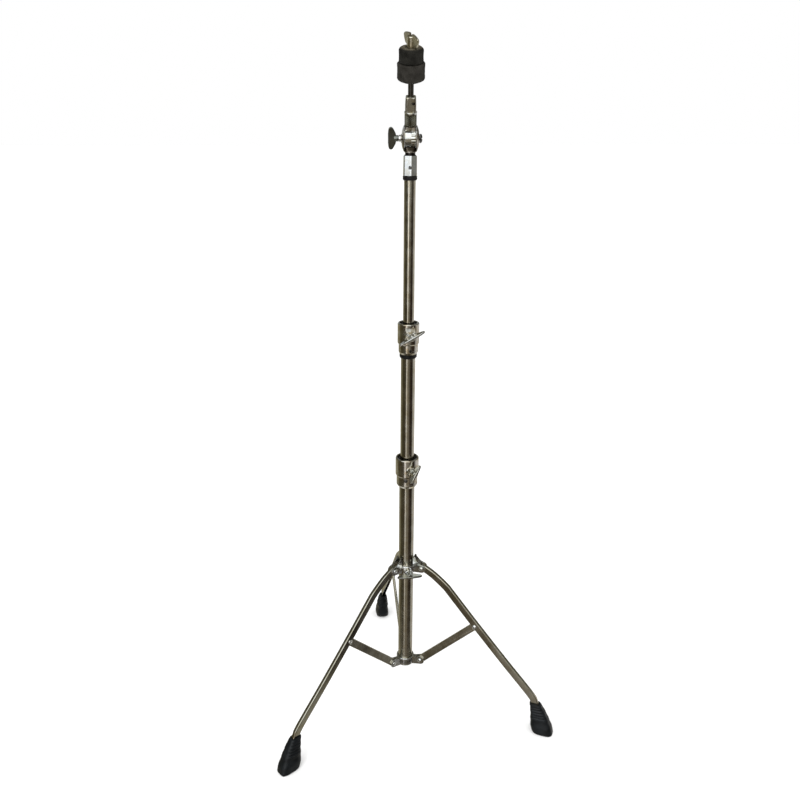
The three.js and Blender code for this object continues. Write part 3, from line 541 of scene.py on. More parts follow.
# Felt looks: name, dark and light colour, and what painted light from above, with some dust, multiplies their tops
# by
FELTS = {
    "dark_felt": ("charcoal felt", (0.02, 0.0185, 0.0155), (0.042, 0.039, 0.034), (1.1, 1.1, 1.1)),
    "darker_felt": ("darker felt", (0.011, 0.0104, 0.0088), (0.028, 0.027, 0.023), (5.4, 5.0, 4.2)),
}
materials = {}
for painter, looks in ((plated, METALS), (moulded, MOULDED), (felted, FELTS)):
    materials.update({look: painter(*values) for look, values in looks.items()})

# Edge angles, in degrees, above which a smooth surface breaks
PLAIN_BREAK = 32
HUB_BREAK = 14
PRESSED_BREAK = 40
BOOT_BREAK = 50
THREAD_BREAK = 60
NO_BREAK = 180


def dress(body, node, place, sharp=PLAIN_BREAK, look=None):
    """Place a piece, and let it stand for a node."""
    placed(body, Matrix.Scale(MM, 4) @ place)
    body.name = node + "_piece"
    body.data.materials.clear()
    body.data.materials.append(materials[look or slot_of[node]])
    body.data.shade_smooth()
    body.data.set_sharp_from_angle(angle=math.radians(sharp))
    flatter = body.modifiers.new("flat faces", "WEIGHTED_NORMAL")
    flatter.keep_sharp = True
    settle(body)
    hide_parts(node)
    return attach(body, body_of[node])


# Mast tubes
TUBE_RIM = 0.3


def tube(node, radius):
    low, high = cad(node)
    inner = radius - TUBE_WALL
    profile = [(inner, low.z + TUBE_RIM), (inner + TUBE_RIM, low.z), *flank(radius, low.z, high.z, TUBE_RIM),
               (inner + TUBE_RIM, high.z), (inner, high.z - TUBE_RIM)]
    dress(lathe(profile), node, MAST)


# Rings under the upper clamp and under the tilter: steps inwards, and shares of the height
STOP_SHARES = [(1.4, 0), (0.5, 0.12), (0, 0.32), (0, 0.5), (0.35, 0.56), (0.35, 0.62), (0, 0.68)]
STOP_EDGE = 0.4


def stop_ring(node, bore):
    low, high = cad(node)
    outer, tall = radius_of(node), high.z - low.z
    outline = [(outer - step, low.z + tall * share) for step, share in STOP_SHARES]
    outline += near(outer, high.z, [(0, -STOP_EDGE), (-STOP_EDGE, 0)])
    dress(ring(bore, outline), node, MAST)


# Height clamps: wall sizes outside the bore, and heights from the lower end
CLAMP_WALL = 3.3
CLAMP_RIM = 2
RIM_END = 80
RIM_STEPS = 8
CLAMP_EDGE = 0.5
CLAMP_SOFT = 0.35
BOSS_RADIUS = 9
BOSS_REACH = 5
BOSS_FLARE = 1.6
BROW_HALF = 8.4
BROW_SOFT = 2.2
PIN_HOLE_RADIUS = 2.8
PIN_HOLE_DEPTH = 2.4
GROOVE_RISE = 2.4
CLAMPS = {
    "lower_clamp": dict(place=LOWER_CLAMP_FRAME, bore=BASE_RADIUS + GAP, sliding=MIDDLE_RADIUS, lip=1.9,
                        skirt=4.9, step_out=2, length=59, step=25, taper=5, seat_depth=27, bolt_drop=21,
                        brow=False, pin_height=18, pin_turn=-31.6, wing_span=38, wing_turn=60),
    "upper_clamp": dict(place=UPPER_CLAMP_FRAME, bore=MIDDLE_RADIUS + GAP, sliding=UPPER_RADIUS, lip=2.3,
                        skirt=4, step_out=1.9, length=56, step=20, taper=4, seat_depth=25, bolt_drop=20,
                        brow=True, pin_height=8, pin_turn=2, wing_span=49, wing_turn=28),
}
for clamp in CLAMPS.values():
    clamp["lip"] += clamp["bore"]
    clamp["skirt"] += clamp["bore"]
    clamp["outer"] = clamp["skirt"] + clamp["step_out"]
    clamp["seat"] = clamp["outer"] - CLAMP_WALL

# Their outlines, set off from corners
LIP_EDGE = [(-0.5, 0), (0, 0.3)]
TAPER_END = [(-0.25, -0.5), (0, 0.2)]
SKIRT_GROOVE = [(0, 0), (-0.45, 0.35), (-0.45, 0.9), (0, 1.25)]
STEP_START = [(0, -2.6), (0.2, -1.9)]
STEP_END = [(-0.4, -0.5), (0, 0.3)]
MOUTH = [(1.1, 0), (0.5, -0.15), (0, -0.8)]
BOSS_FOOT = [(BOSS_FLARE, -1.4), (0.5, -0.2), (0, 1)]
BOSS_EDGE = [(0, -0.8), (-0.3, -0.25), (-1, 0)]
HOLE_EDGE = [(0, -0.7), (0.8, 0.1), (0.8, OVERRUN)]
BROW = [(-2.8, 6), (4.4, 6), (3.9, 7.6), (0.6, 13.2), (-0.8, 14.6), (-2.8, 15)]


def clamp_shell(node, size):
    bore, lip, skirt, outer, seat = (size[key] for key in ("bore", "lip", "skirt", "outer", "seat"))
    length, step, taper = size["length"], size["step"], size["taper"]
    shelf = length - size["seat_depth"]
    foot = [(bore, CLAMP_EDGE), (bore + CLAMP_EDGE, 0), *near(lip, 0, LIP_EDGE)]
    foot += near(skirt, taper, TAPER_END)
    middle = near(skirt, taper + GROOVE_RISE, SKIRT_GROOVE) + near(skirt, step, STEP_START)
    top = arc((outer - CLAMP_RIM, length - CLAMP_RIM), CLAMP_RIM, 0, RIM_END, RIM_STEPS)
    inside = [*near(seat, length, MOUTH), (seat, shelf), (bore, shelf)]
    shell = lathe([*foot, *middle, *near(outer, step, STEP_END), *top, *inside])
    face = outer + BOSS_REACH
    boss = solid([(BOSS_RADIUS + BOSS_FLARE, seat + 1), *near(BOSS_RADIUS, outer, BOSS_FOOT),
                  *near(BOSS_RADIUS, face, BOSS_EDGE)], SMALL_SIDES)
    hole = solid([(STUD_RADIUS + GAP, bore / 2), *near(STUD_RADIUS + GAP, face, HOLE_EDGE)], SMALL_SIDES)
    pin_hole = pin(PIN_HOLE_RADIUS, skirt - PIN_HOLE_DEPTH, skirt + OVERRUN)
    to_bolt = shift(z=length - size["bolt_drop"])
    if size["brow"]:
        brow = soften(prism(near(outer, 0, BROW), -BROW_HALF, BROW_HALF), BROW_SOFT, ROUNDEST)
        join(shell, placed(brow, to_bolt @ turn(-90)))
    join(shell, placed(boss, to_bolt @ FACING_FRONT))
    to_pin = turn(size["pin_turn"]) @ shift(z=size["pin_height"]) @ FACING_FRONT
    cut(shell, placed(hole, to_bolt @ FACING_FRONT), placed(pin_hole, to_pin))
    dress(soften(shell, CLAMP_SOFT), node, size["place"])


BUSHING_PLAY = 0.2
BUSHING_DROP = 3.4
BUSHING_EDGE = 0.6
SLIT_HALF = 1.2


def bushing(node, size):
    """A split nylon sleeve inside a clamp's mouth."""
    inner, outer = size["sliding"] + BUSHING_PLAY, size["seat"] - GAP
    low = size["length"] - size["seat_depth"] + GAP
    high = low + size["seat_depth"] - BUSHING_DROP
    sleeve = lathe([(inner, low), (outer, low), (outer, high - BUSHING_EDGE), (outer - BUSHING_EDGE, high),
                    (inner + BUSHING_EDGE, high), (inner, high - BUSHING_EDGE)])
    slit = block((-SLIT_HALF, inner - 1, low - 1), (SLIT_HALF, outer + 1, high + 1))
    dress(cut(sleeve, slit), node, size["place"])


PIN_DEPTH = 2.1
DOMED_HEAD = [(2.5, 0.3), (3.75, 0.3), (3.6, 0.8), (2.8, 1.15), (0, 1.2)]
SUNK_HEAD = [(2.5, -0.9), (2.1, -0.6), (1.2, -0.6), (0.8, -1.3), (0, -1.3)]


def clamp_pin(node, size, head):
    surface = size["skirt"]
    body = lathe([(0, surface - PIN_DEPTH), (RIVET_RADIUS, surface - PIN_DEPTH), *near(0, surface, head)],
                 SMALL_SIDES)
    place = size["place"] @ turn(size["pin_turn"]) @ shift(z=size["pin_height"])
    dress(body, node, place @ FACING_FRONT)


# Wing bolts, with shares of the half span and of the depth
WING_SHARES = [(0.1, 0.04), (0.28, 0.06), (0.45, 0.11), (0.67, 0.25), (0.85, 0.38), (0.96, 0.5), (1, 0.64),
               (0.98, 0.78), (0.9, 0.9), (0.72, 0.96), (0.4, 1), (0.15, 1)]
WING_DEPTH = 14
WING_THICKNESS = 4.6
WING_TIP_SHARE = 0.72
WING_EDGE = 1.4
WING_SOFT = 0.5
WING_STEPS = 5
STUD_EDGE = 0.5
WING_HUB = [(6.2, GAP), (6.5, 2 * GAP), (6.5, 2.6), (6.2, 3.1), (5.9, 3.4), (5.2, 8), (4.9, 10.6),
            (4.3, 11.3), (3.2, 11.5)]


def wings(span, depth, shares, thickness, tip_share, edge):
    """A pair of wings that thin towards their tips, with round edges."""
    half = [(span / 2 * out, depth * up) for out, up in shares]
    outline = rounded(half + [(-x, z) for x, z in reversed(half)], WING_STEPS)
    half_span = max(x for x, _ in outline)
    body = soften(prism(outline, -thickness / 2, thickness / 2), edge, ROUNDER, BROAD_ANGLE)
    for vertex in body.data.vertices:
        vertex.co.y *= 1 - (1 - tip_share) * (abs(vertex.co.x) / half_span)
    return body


def wing_bolt(node, stud, span, angle, place, look="grey_nickel"):
    """A cast wing bolt whose shoulder sits on its boss."""
    hub = solid([*near(STUD_RADIUS, -stud, [(-STUD_EDGE, 0), (0, STUD_EDGE)]), (STUD_RADIUS, GAP), *WING_HUB],
                SMALL_SIDES)
    blades = wings(span, WING_DEPTH, WING_SHARES, WING_THICKNESS, WING_TIP_SHARE, WING_EDGE)
    body = soften(join(hub, blades), WING_SOFT, 2, CAST_ANGLE)
    dress(body, node, place @ FACING_FRONT @ turn(angle), look=look)


# Legs: shares along and aside of the lines from pivot to knee and from knee to foot
LEG_ARCH_SHARES = [(0.145, 0.05), (0.36, 0.073), (0.46, 0.068), (0.71, 0.045)]
LEG_SHANK_SHARES = [(0.34, 0.044), (0.67, 0.091), (0.7456, 0.087), (0.8255, 0.07), (0.9, 0.046)]
LEG_WALL = 1.3
LEG_CORNER = 2.1
CORNER_STEPS = 6
INNER_STEPS = 4
LEG_HEAD = 5
LEG_STATIONS = 90
LEG_STEPS = 24
LEG_NOSE_SHARE = 0.2
BRACE_PIN_INSET = 3


def leg_line():
    """The leg's centre line in its own plane, from the hub to the foot, with even steps."""
    head = Vector((PIVOT_RADIUS, UPPER_PIVOT))
    elbow = Vector((KNEE_RADIUS, KNEE_HEIGHT))
    foot = Vector((FOOT_RADIUS, 0))

    def stations(start, end, shares):
        run = end - start
        out = Vector((-run.y, run.x))
        return [start + run * along + out * aside for along, aside in shares]

    shank = (foot - elbow).normalized()
    knee = elbow + Vector((-shank.y, shank.x)) * BRACE_PIN_INSET
    top = head - (elbow - head).normalized() * LEG_HEAD
    knots = [top, *stations(head, elbow, LEG_ARCH_SHARES), knee, *stations(knee, foot, LEG_SHANK_SHARES)]
    fine = []
    for i in range(len(knots) - 1):
        corners = [knots[max(i - 1, 0)], knots[i], knots[i + 1], knots[min(i + 2, len(knots) - 1)]]
        fine += [catmull(*corners, step / LEG_STEPS) for step in range(LEG_STEPS)]
    fine.append(knots[-1])
    lengths = [0.0]
    for before, after in zip(fine, fine[1:]):
        lengths.append(lengths[-1] + (after - before).length)
    line, index = [], 0
    for station in range(LEG_STATIONS + 1):
        wanted = lengths[-1] * station / LEG_STATIONS
        while index < len(lengths) - 2 and lengths[index + 1] < wanted:
            index += 1
        share = (wanted - lengths[index]) / (lengths[index + 1] - lengths[index])
        line.append(fine[index].lerp(fine[index + 1], share))
    return line


LEG_LINE = leg_line()


def leg_stations():
    """Each station's place, its direction along the leg and the one across it."""
    for index, spot in enumerate(LEG_LINE):
        along = (LEG_LINE[min(index + 1, LEG_STATIONS)] - LEG_LINE[max(index - 1, 0)]).normalized()
        yield spot, along, Vector((-along.y, along.x))


def channel_section():
    """The leg's channel, open at its lower end, from one lip to the other."""
    half, tip, inner = LEG_WIDTH / 2, LEG_WALL / 2, LEG_CORNER - LEG_WALL
    outside = arc((LEG_DEPTH / 2 - LEG_CORNER, half - LEG_CORNER), LEG_CORNER, 90, 0, CORNER_STEPS)
    inside = arc((LEG_DEPTH / 2 - LEG_CORNER, -(half - LEG_CORNER)), inner, -90, 0, INNER_STEPS)
    lip = arc((tip - LEG_DEPTH / 2, -(half - tip)), tip, 270, 90, CORNER_STEPS)
    return outside + mirrored(outside) + lip + inside + mirrored(inside) + mirrored(lip)


def rivet_hole(x, z=0):
    return placed(pin(RIVET_RADIUS + GAP, -LEG_WIDTH, LEG_WIDTH), shift(x, 0, z) @ FACING_FRONT)


def leg(side):
    section = channel_section()
    rings = []
    travelled, previous = 0, LEG_LINE[0]
    for spot, along, out in leg_stations():
        travelled += (spot - previous).length
        previous = spot
        nose = min(travelled / (LEG_DEPTH / 2), 1)
        squash = math.sqrt(1 - (1 - nose) ** 2) * (1 - LEG_NOSE_SHARE) + LEG_NOSE_SHARE
        rings.append([(spot.x + out.x * a * squash, b, spot.y + out.y * a * squash) for a, b in section])
    body = cut(skin(rings), rivet_hole(PIVOT_RADIUS, UPPER_PIVOT), rivet_hole(KNEE_RADIUS, KNEE_HEIGHT))
    dress(body, "leg_" + side, side_frame(side), PRESSED_BREAK, "leg_nickel")


BRACE_HALF = 7.5
END_STEPS = 24
BRACE_WALL = 1.1
BRACE_EDGE = 0.9
BRACE_SOFT = 0.25
BRACE_SOLID_END = 13
CHANNEL_RUN = 6
EYE_RIM = 1.6
EYE_DEPTH = 0.35


def brace(side):
    """A pressed bar with round ends and a channel below."""
    run = Vector((KNEE_RADIUS - PIVOT_RADIUS, KNEE_HEIGHT - LOWER_PIVOT))
    length, half = run.length, BRACE_HALF
    outline = [*arc((0, 0), half, 90, 270, END_STEPS), *arc((length, 0), half, -90, 90, END_STEPS)]
    bar = soften(prism(outline, -BRACE_WIDTH / 2, BRACE_WIDTH / 2), BRACE_EDGE, ROUNDER)
    inner = BRACE_WIDTH / 2 - BRACE_WALL
    low, high, top = BRACE_SOLID_END, length - BRACE_SOLID_END, half - BRACE_WALL
    bottom = -half - OVERRUN
    cut(bar, prism([(low + CHANNEL_RUN, top), (low, bottom), (high, bottom), (high - CHANNEL_RUN, top)],
                   -inner, inner))
    for x in (0, length):
        eye = pin(half - EYE_RIM, BRACE_WIDTH / 2 - EYE_DEPTH, BRACE_WIDTH)
        cut(bar, rivet_hole(x), placed(eye, shift(x) @ FACING_FRONT))
    rise = turn(-math.degrees(math.atan2(run.y, run.x)), "Y")
    place = side_frame(side) @ shift(PIVOT_RADIUS, 0, LOWER_PIVOT) @ rise
    dress(soften(bar, BRACE_SOFT, 2, CAST_ANGLE), "brace_" + side, place)


RIVET_HEAD_RADIUS = 4.7
RIVET_HEAD_HEIGHT = 2.2
DOME_DEGREES = 9
ROLLED_DIMPLE = -0.9
ROLLED_HEAD = [(-3.2, ROLLED_DIMPLE), (-2.6, -1.6), (-1.6, -1.9), (-0.5, -1.4), (0, -0.5), (-0.5, 0)]


def rivet(node, grip, place):
    """A rivet along Y with a domed head on one side and a rolled one on the other."""
    half = grip / 2 + GAP
    dome = []
    for angle in range(0, 90, DOME_DEGREES):
        rising = math.radians(angle)
        dome.append((RIVET_HEAD_RADIUS * math.cos(rising), half + RIVET_HEAD_HEIGHT * math.sin(rising)))
    profile = [(0, ROLLED_DIMPLE - half), *near(RIVET_HEAD_RADIUS, -half, ROLLED_HEAD), (RIVET_RADIUS, -half),
               (RIVET_RADIUS, half), *dome, (0, half + RIVET_HEAD_HEIGHT)]
    dress(lathe(profile, SMALL_SIDES), node, place @ FACING_FRONT)


# Hubs: heights from the pivot, grooves from the top
EAR_WALL = 2.4
EAR_PLAY = 0.4
EAR_ROUND = 8.6
EAR_SHOULDER = 3
EAR_SOFT = 0.5
EAR_STEPS = 9
NOSE_STEPS = 20
HUB_SOFT = 0.3
LOWER_HUB = dict(pivot=LOWER_PIVOT, low=-12, high=5, grooves=(4, 8, 12), ear_top=5, ear_bottom=-12,
                 nose_end=100, hollow=1.2, arm_width=BRACE_WIDTH)
LEG_HUB = dict(pivot=UPPER_PIVOT, low=-13, high=4, grooves=(3.4,), ear_top=23, ear_bottom=-10, nose_end=62,
               hollow=4.6, arm_width=LEG_WIDTH)
BORE_EDGE = 0.5
COLLAR_FOOT = [(-0.8, 0), (-0.2, 0.3), (0, 0.9)]
COLLAR_GROOVE = [(0, -0.6), (-0.5, -0.25), (-0.5, 0.25), (0, 0.6)]
COLLAR_TOP = [(0, -1), (-0.3, -0.3), (-1, 0)]


def ear_pair(size, angle):
    """A pair of ears with a slot for the arm between them and a hole for its rivet."""
    pivot = size["pivot"]
    top, bottom = pivot + size["ear_top"], pivot + size["ear_bottom"]
    gap = size["arm_width"] + 2 * EAR_PLAY
    wide = gap + 2 * EAR_WALL
    root = HUB_BORE + COLLAR_WALL / 2
    nose = arc((PIVOT_RADIUS, pivot), EAR_ROUND, -90, size["nose_end"], NOSE_STEPS)
    start, end = Vector(nose[-1]), Vector((root + EAR_SHOULDER, top))
    bend = (start + end) / 2 - Vector((size["hollow"], size["hollow"]))
    slope = []
    for step in range(1, EAR_STEPS):
        share = step / EAR_STEPS
        slope.append(tuple(start * (1 - share) ** 2 + bend * 2 * share * (1 - share) + end * share ** 2))
    body = prism([(root, bottom), *nose, *slope, tuple(end), (root, top)], -wide / 2, wide / 2)
    slot = block((HUB_BORE + COLLAR_WALL + GAP, -gap / 2, bottom - 2 * EAR_ROUND),
                 (PIVOT_RADIUS + 3 * EAR_ROUND, gap / 2, top + EAR_ROUND))
    hole = placed(pin(RIVET_RADIUS + GAP, -wide, wide), shift(PIVOT_RADIUS, 0, pivot) @ FACING_FRONT)
    return placed(soften(cut(body, slot, hole), EAR_SOFT), turn(angle))


def hub_body(size):
    """A grooved collar with three pairs of ears."""
    low, high = size["pivot"] + size["low"], size["pivot"] + size["high"]
    outer = HUB_BORE + COLLAR_WALL
    profile = [(HUB_BORE, low + BORE_EDGE), (HUB_BORE + BORE_EDGE, low), *near(outer, low, COLLAR_FOOT)]
    for groove in size["grooves"]:
        profile += near(outer, high - groove, COLLAR_GROOVE)
    profile += [*near(outer, high, COLLAR_TOP), (HUB_BORE + BORE_EDGE, high), (HUB_BORE, high - BORE_EDGE)]
    return join(lathe(profile), *(ear_pair(size, angle) for angle in SIDE_AZIMUTHS.values()))


HUB_FACE = HUB_BORE + COLLAR_WALL + 10
HUB_BOSS = [(8.1, HUB_BORE + 1.5), (8, HUB_BORE + 3.2), (7.6, HUB_BORE + 4.4), (7.5, HUB_FACE - 0.7),
            (6.8, HUB_FACE)]


def hubs():
    dress(soften(hub_body(LOWER_HUB), HUB_SOFT, 2, CAST_ANGLE), "lower_hub", MAST, HUB_BREAK)
    to_bolt = shift(z=point("hub_wing_bolt_spin").z) @ FACING_FRONT
    hole = pin(STUD_RADIUS + GAP, BASE_RADIUS / 2, HUB_FACE + OVERRUN)
    body = join(hub_body(LEG_HUB), placed(solid(HUB_BOSS, SMALL_SIDES), to_bolt))
    cut(body, placed(hole, to_bolt))
    dress(soften(body, HUB_SOFT, 2, CAST_ANGLE), "leg_hub", MAST, HUB_BREAK)


# Rubber feet, with shares of height, length and width
BOOT_HEIGHT = 65.5
BOOT_LENGTH = 42
BOOT_WIDTH = 29
BOOT_SHARES = [(0, 0.9, 0.91), (0.035, 0.98, 1), (0.2, 1, 0.97), (0.46, 0.87, 0.82), (0.7, 0.72, 0.68),
               (0.94, 0.56, 0.56), (1, 0.5, 0.51)]
BOOT_ROWS = 120
BOOT_SQUARENESS = 3.4
BOOT_SOFT = 0.6
HEEL_INSET = 3
HEEL_HEIGHT = 7
RIB_HEIGHT = 1.3
RIB_START_SHARE = 0.52
RIB_END_SHARE = 0.95
RIB_PITCH_SHARE = 0.086
RIB_REACH_SHARE = 0.8
RIB_FACE_SHARE = 0.2
RIB_SQUARENESS = 4
POCKET_START = LEG_STATIONS * 2 // 3


def between(shares, wanted):
    """Length and width shares at a share of the height, on a smooth line through the table."""
    index = max(i for i in range(len(shares) - 1) if shares[i][0] <= wanted or i == 0)
    low, high = Vector(shares[index]), Vector(shares[index + 1])
    share = (wanted - low[0]) / (high[0] - low[0])
    return low.lerp(high, share * share * (3 - 2 * share) if index else share)[1:]


def leg_radius_at(height):
    for low, high in zip(reversed(LEG_LINE), reversed(LEG_LINE[:-1])):
        if high.y >= height:
            break
    return low.x + (high.x - low.x) * (height - low.y) / (high.y - low.y)


def boot_row(height):
    """A rounded rectangle at a height, with a rib on its sides and an undercut heel."""
    up = height / BOOT_HEIGHT
    long, wide = between(BOOT_SHARES, up)
    middle = leg_radius_at(height)
    wave = math.sin((up - RIB_START_SHARE) / RIB_PITCH_SHARE * 2 * math.pi)
    rib = RIB_HEIGHT * max(0.0, wave) ** 0.5 if RIB_START_SHARE < up < RIB_END_SHARE else 0.0
    row = []
    for x, y in superellipse(2, 2, BOOT_SQUARENESS, SIDES):
        across = math.hypot(x, y)
        turned_x, turned_y = x / across, y / across
        lift = rib * max(0.0, 1 - (abs(turned_x) / RIB_REACH_SHARE) ** RIB_SQUARENESS)
        heel = HEEL_INSET * max(0.0, 1 - height / HEEL_HEIGHT) ** 2 if x < 0 else 0
        spot_x = middle + (BOOT_LENGTH / 2 * long + heel * turned_x) * x
        spot_y = BOOT_WIDTH / 2 * wide * y + math.copysign(lift, y) * (abs(turned_y) > RIB_FACE_SHARE)
        row.append((spot_x, spot_y, height))
    return row


def boot(side):
    body = skin([boot_row(BOOT_HEIGHT * row / BOOT_ROWS) for row in range(BOOT_ROWS + 1)])
    reach = LEG_DEPTH / 2 + GAP
    pocket = list(leg_stations())[POCKET_START:]
    spot, along, out = pocket[-1]
    pocket[-1] = (spot + along * GAP, along, out)
    outline = [tuple(spot + out * reach) for spot, _, out in pocket]
    outline += [tuple(spot - out * reach) for spot, _, out in reversed(pocket)]
    cut(body, prism(outline, -LEG_WIDTH / 2 - GAP, LEG_WIDTH / 2 + GAP))
    dress(soften(body, BOOT_SOFT, 2, BOOT_ANGLE), "foot_" + side, side_frame(side), BOOT_BREAK)


# Tilter, in the frame of its pivot
FORK_GAP = 18.4
CHEEK_RADIUS = 20
CHEEK_BOSS = 5.8
CHEEK_FACE = FORK_GAP / 2 + CHEEK_BOSS
CHEEK_FOOT = [(-0.4, 0), (0, 0.4), (0, 1)]
CHEEK_EYE = [(6.9, -1.2), (6.6, -0.4), (6, 0)]
DOME_INSET = 0.5
DOME_START = 1.5
DOME_END_RADIUS = 7.6
DOME_STEPS = 12
DRUM_RADIUS = 15.5
DRUM_ROOM = DRUM_RADIUS + 0.5


def cheek():
    """A lens-shaped cheek facing up, with its flat side at half the fork's gap."""
    inner, outer = FORK_GAP / 2, CHEEK_RADIUS - DOME_INSET
    rise = CHEEK_BOSS - DOME_START + CHEEK_EYE[0][1]
    dome = []
    for step in range(DOME_STEPS + 1):
        share = step / DOME_STEPS
        dome.append((outer - (outer - DOME_END_RADIUS) * share,
                     inner + DOME_START + rise * math.sin(share * math.pi / 2)))
    return solid([*near(CHEEK_RADIUS, inner, CHEEK_FOOT), *dome, *near(0, CHEEK_FACE, CHEEK_EYE)])


# The fork's neck: width, depth, squareness and height over the sleeve
FORK_NECK = [(17.4, 17, 2, GAP), (16.6, 16.4, 2, 1.2), (16.6, 16.2, 2.1, 4.4), (19.6, 16.8, 2.4, 5.4),
             (19.8, 16.8, 2.6, 6.4), (20.6, 16.4, 2.8, 7.2), (22.6, 16.8, 3.4, 11), (24.8, 17.4, 4, 15)]
FORK_SHOULDER = (26, 18, 5, -7)
FORK_SOFT = 0.45
SPIGOT_TOP = 1.2
SPIGOT_LENGTH = 26
SPIGOT_EDGE = 0.6
TUBE_END = SLEEVE_TOP - 7


def tilter_base():
    neck = [(wide, deep, squareness, SLEEVE_TOP + up) for wide, deep, squareness, up in FORK_NECK]
    body = loft([*neck, FORK_SHOULDER], SIDES)
    join(body, placed(cheek(), FACING_RIGHT), placed(cheek(), FACING_LEFT))
    half, reach = FORK_GAP / 2, DRUM_ROOM + OVERRUN
    cut(body, block((-half, -reach, 0), (half, reach, 2 * DRUM_ROOM)))
    cut(body, placed(pin(DRUM_ROOM, -half, half, SIDES), FACING_RIGHT))
    cut(body, placed(pin(BOLT_RADIUS + GAP, -2 * CHEEK_FACE, 2 * CHEEK_FACE), FACING_RIGHT))
    inner, end = UPPER_RADIUS - TUBE_WALL - GAP, TUBE_END - SPIGOT_LENGTH
    spigot = solid([(inner - SPIGOT_EDGE, end), (inner, end + SPIGOT_EDGE), (inner, TUBE_END + GAP),
                    (UPPER_RADIUS, TUBE_END + GAP), (UPPER_RADIUS, SLEEVE_TOP + SPIGOT_TOP)])
    body = soften(join(body, spigot), FORK_SOFT, ROUNDER, BROAD_ANGLE)
    dress(body, "tilter_base", FORK_FRAME, look="fork_chrome")


CONE_LENGTH = 3.4
CONE = [(5.2, 0), (5.5, 0.3), (5.5, 0.8), (4.9, CONE_LENGTH - 0.2), (4.6, CONE_LENGTH)]
NUT_SEAT = CHEEK_FACE + GAP + CONE_LENGTH + GAP
NUT_NECK = 3
NUT_LENGTH = 7.5
NUT_BORE = 6
NUT_TURN = 14
NUT_SPAN = 35
NUT_WING_DEPTH = 13.6
NUT_WING_THICKNESS = 5
NUT_TIP_SHARE = 0.6
NUT_EDGE = 1.5
NUT_HUB = [(4.2, 0), (4.75, 0.5), (4.75, NUT_NECK), (4.2, NUT_LENGTH - 0.5), (3.7, NUT_LENGTH)]
BOLT_GRIP = 5
BOLT_END = [(-0.6, 0), (0, 0.6)]
HEAD_RADIUS = 7
BOLT_HEAD = [(-0.3, GAP), (0, 2 * GAP), (0, 1.8), (-0.8, 2.9), (-2.4, 3.7), (-4.2, 4)]
SLOT_HALF = 0.8
SLOT_FLOOR = 2.9
SLOT_TOP = 6
FINE_SOFT = 0.15


def tilter_bolt():
    profile = [*near(BOLT_RADIUS, -NUT_SEAT - BOLT_GRIP, BOLT_END), (BOLT_RADIUS, CHEEK_FACE + GAP),
               *near(HEAD_RADIUS, CHEEK_FACE, BOLT_HEAD)]
    slot = block((-SLOT_HALF, -HEAD_RADIUS, CHEEK_FACE + SLOT_FLOOR),
                 (SLOT_HALF, HEAD_RADIUS, CHEEK_FACE + SLOT_TOP))
    body = soften(cut(solid(profile, SMALL_SIDES), slot), FINE_SOFT)
    dress(body, "tilter_bolt", FORK_FRAME @ FACING_RIGHT)


def tilter_washer():
    body = ring(BOLT_RADIUS + GAP, near(0, CHEEK_FACE + GAP, CONE), SMALL_SIDES)
    dress(body, "tilter_washer", FORK_FRAME @ FACING_LEFT)


def tilter_wing_nut():
    blades = wings(NUT_SPAN, NUT_WING_DEPTH, WING_SHARES, NUT_WING_THICKNESS, NUT_TIP_SHARE, NUT_EDGE)
    body = join(solid(NUT_HUB, SMALL_SIDES), placed(blades, shift(z=NUT_NECK)))
    cut(body, pin(BOLT_RADIUS + GAP, -OVERRUN, NUT_BORE))
    place = FORK_FRAME @ shift(-NUT_SEAT) @ turn(NUT_TURN, "X") @ FACING_LEFT
    dress(soften(body, WING_SOFT, 2, CAST_ANGLE), "tilter_wing_nut", place, look="olive_nickel")


# The sleeve's six flats: how far each stands from the middle, its corner's reach and the front one's turn
FLAT_REACH = 10.85
CORNER_REACH = 12.05
FLAT_TURN = -112
FLAT_ANGLE = 60
BORE_MARGIN = 0.5
SLEEVE_RADIUS = radius_of("tilter_sleeve")
SLEEVE_TAPER = 0.5
SLEEVE_EDGE = 0.5
SLEEVE_EDGE_STEPS = 4
SLEEVE_MOUTH = 0.4
SLEEVE_SOFT = 0.25
KEY_HOLE_RADIUS = 2.5
KEY_RADIUS = 2.2
KEY_SQUARENESS = 8
KEY_HEAD = [(4.6, GAP), (5, GAP + 0.4), (5, 2.1), (4.5, 2.5)]
KEY_SOFT = 0.1
KEY_PLACE = shift(z=point("sleeve_key_bolt_spin").z) @ FACING_FRONT


def six_sided(radius, angle, height):
    if radius < FLAT_REACH - BORE_MARGIN:
        return radius
    off = (math.degrees(angle) - FLAT_TURN + FLAT_ANGLE / 2) % FLAT_ANGLE - FLAT_ANGLE / 2
    return min(FLAT_REACH / math.cos(math.radians(off)), CORNER_REACH) * radius / SLEEVE_RADIUS


def tilter_sleeve():
    low, high = (corner.z for corner in cad("tilter_sleeve"))
    inner, outer, edge = UPPER_RADIUS + GAP, SLEEVE_RADIUS, SLEEVE_EDGE
    top = outer - SLEEVE_TAPER
    profile = [(inner, low + SLEEVE_MOUTH), (inner + SLEEVE_MOUTH, low), (outer - edge, low),
               (outer, low + edge), *arc((top - edge, high - edge), edge, 0, 90, SLEEVE_EDGE_STEPS),
               (inner, high)]
    hole = placed(pin(KEY_HOLE_RADIUS, inner / 2, outer + OVERRUN), KEY_PLACE)
    body = soften(cut(lathe(profile, FINE_SIDES, six_sided), hole), SLEEVE_SOFT)
    dress(body, "tilter_sleeve", HEAD_FRAME, look="satin_chrome")


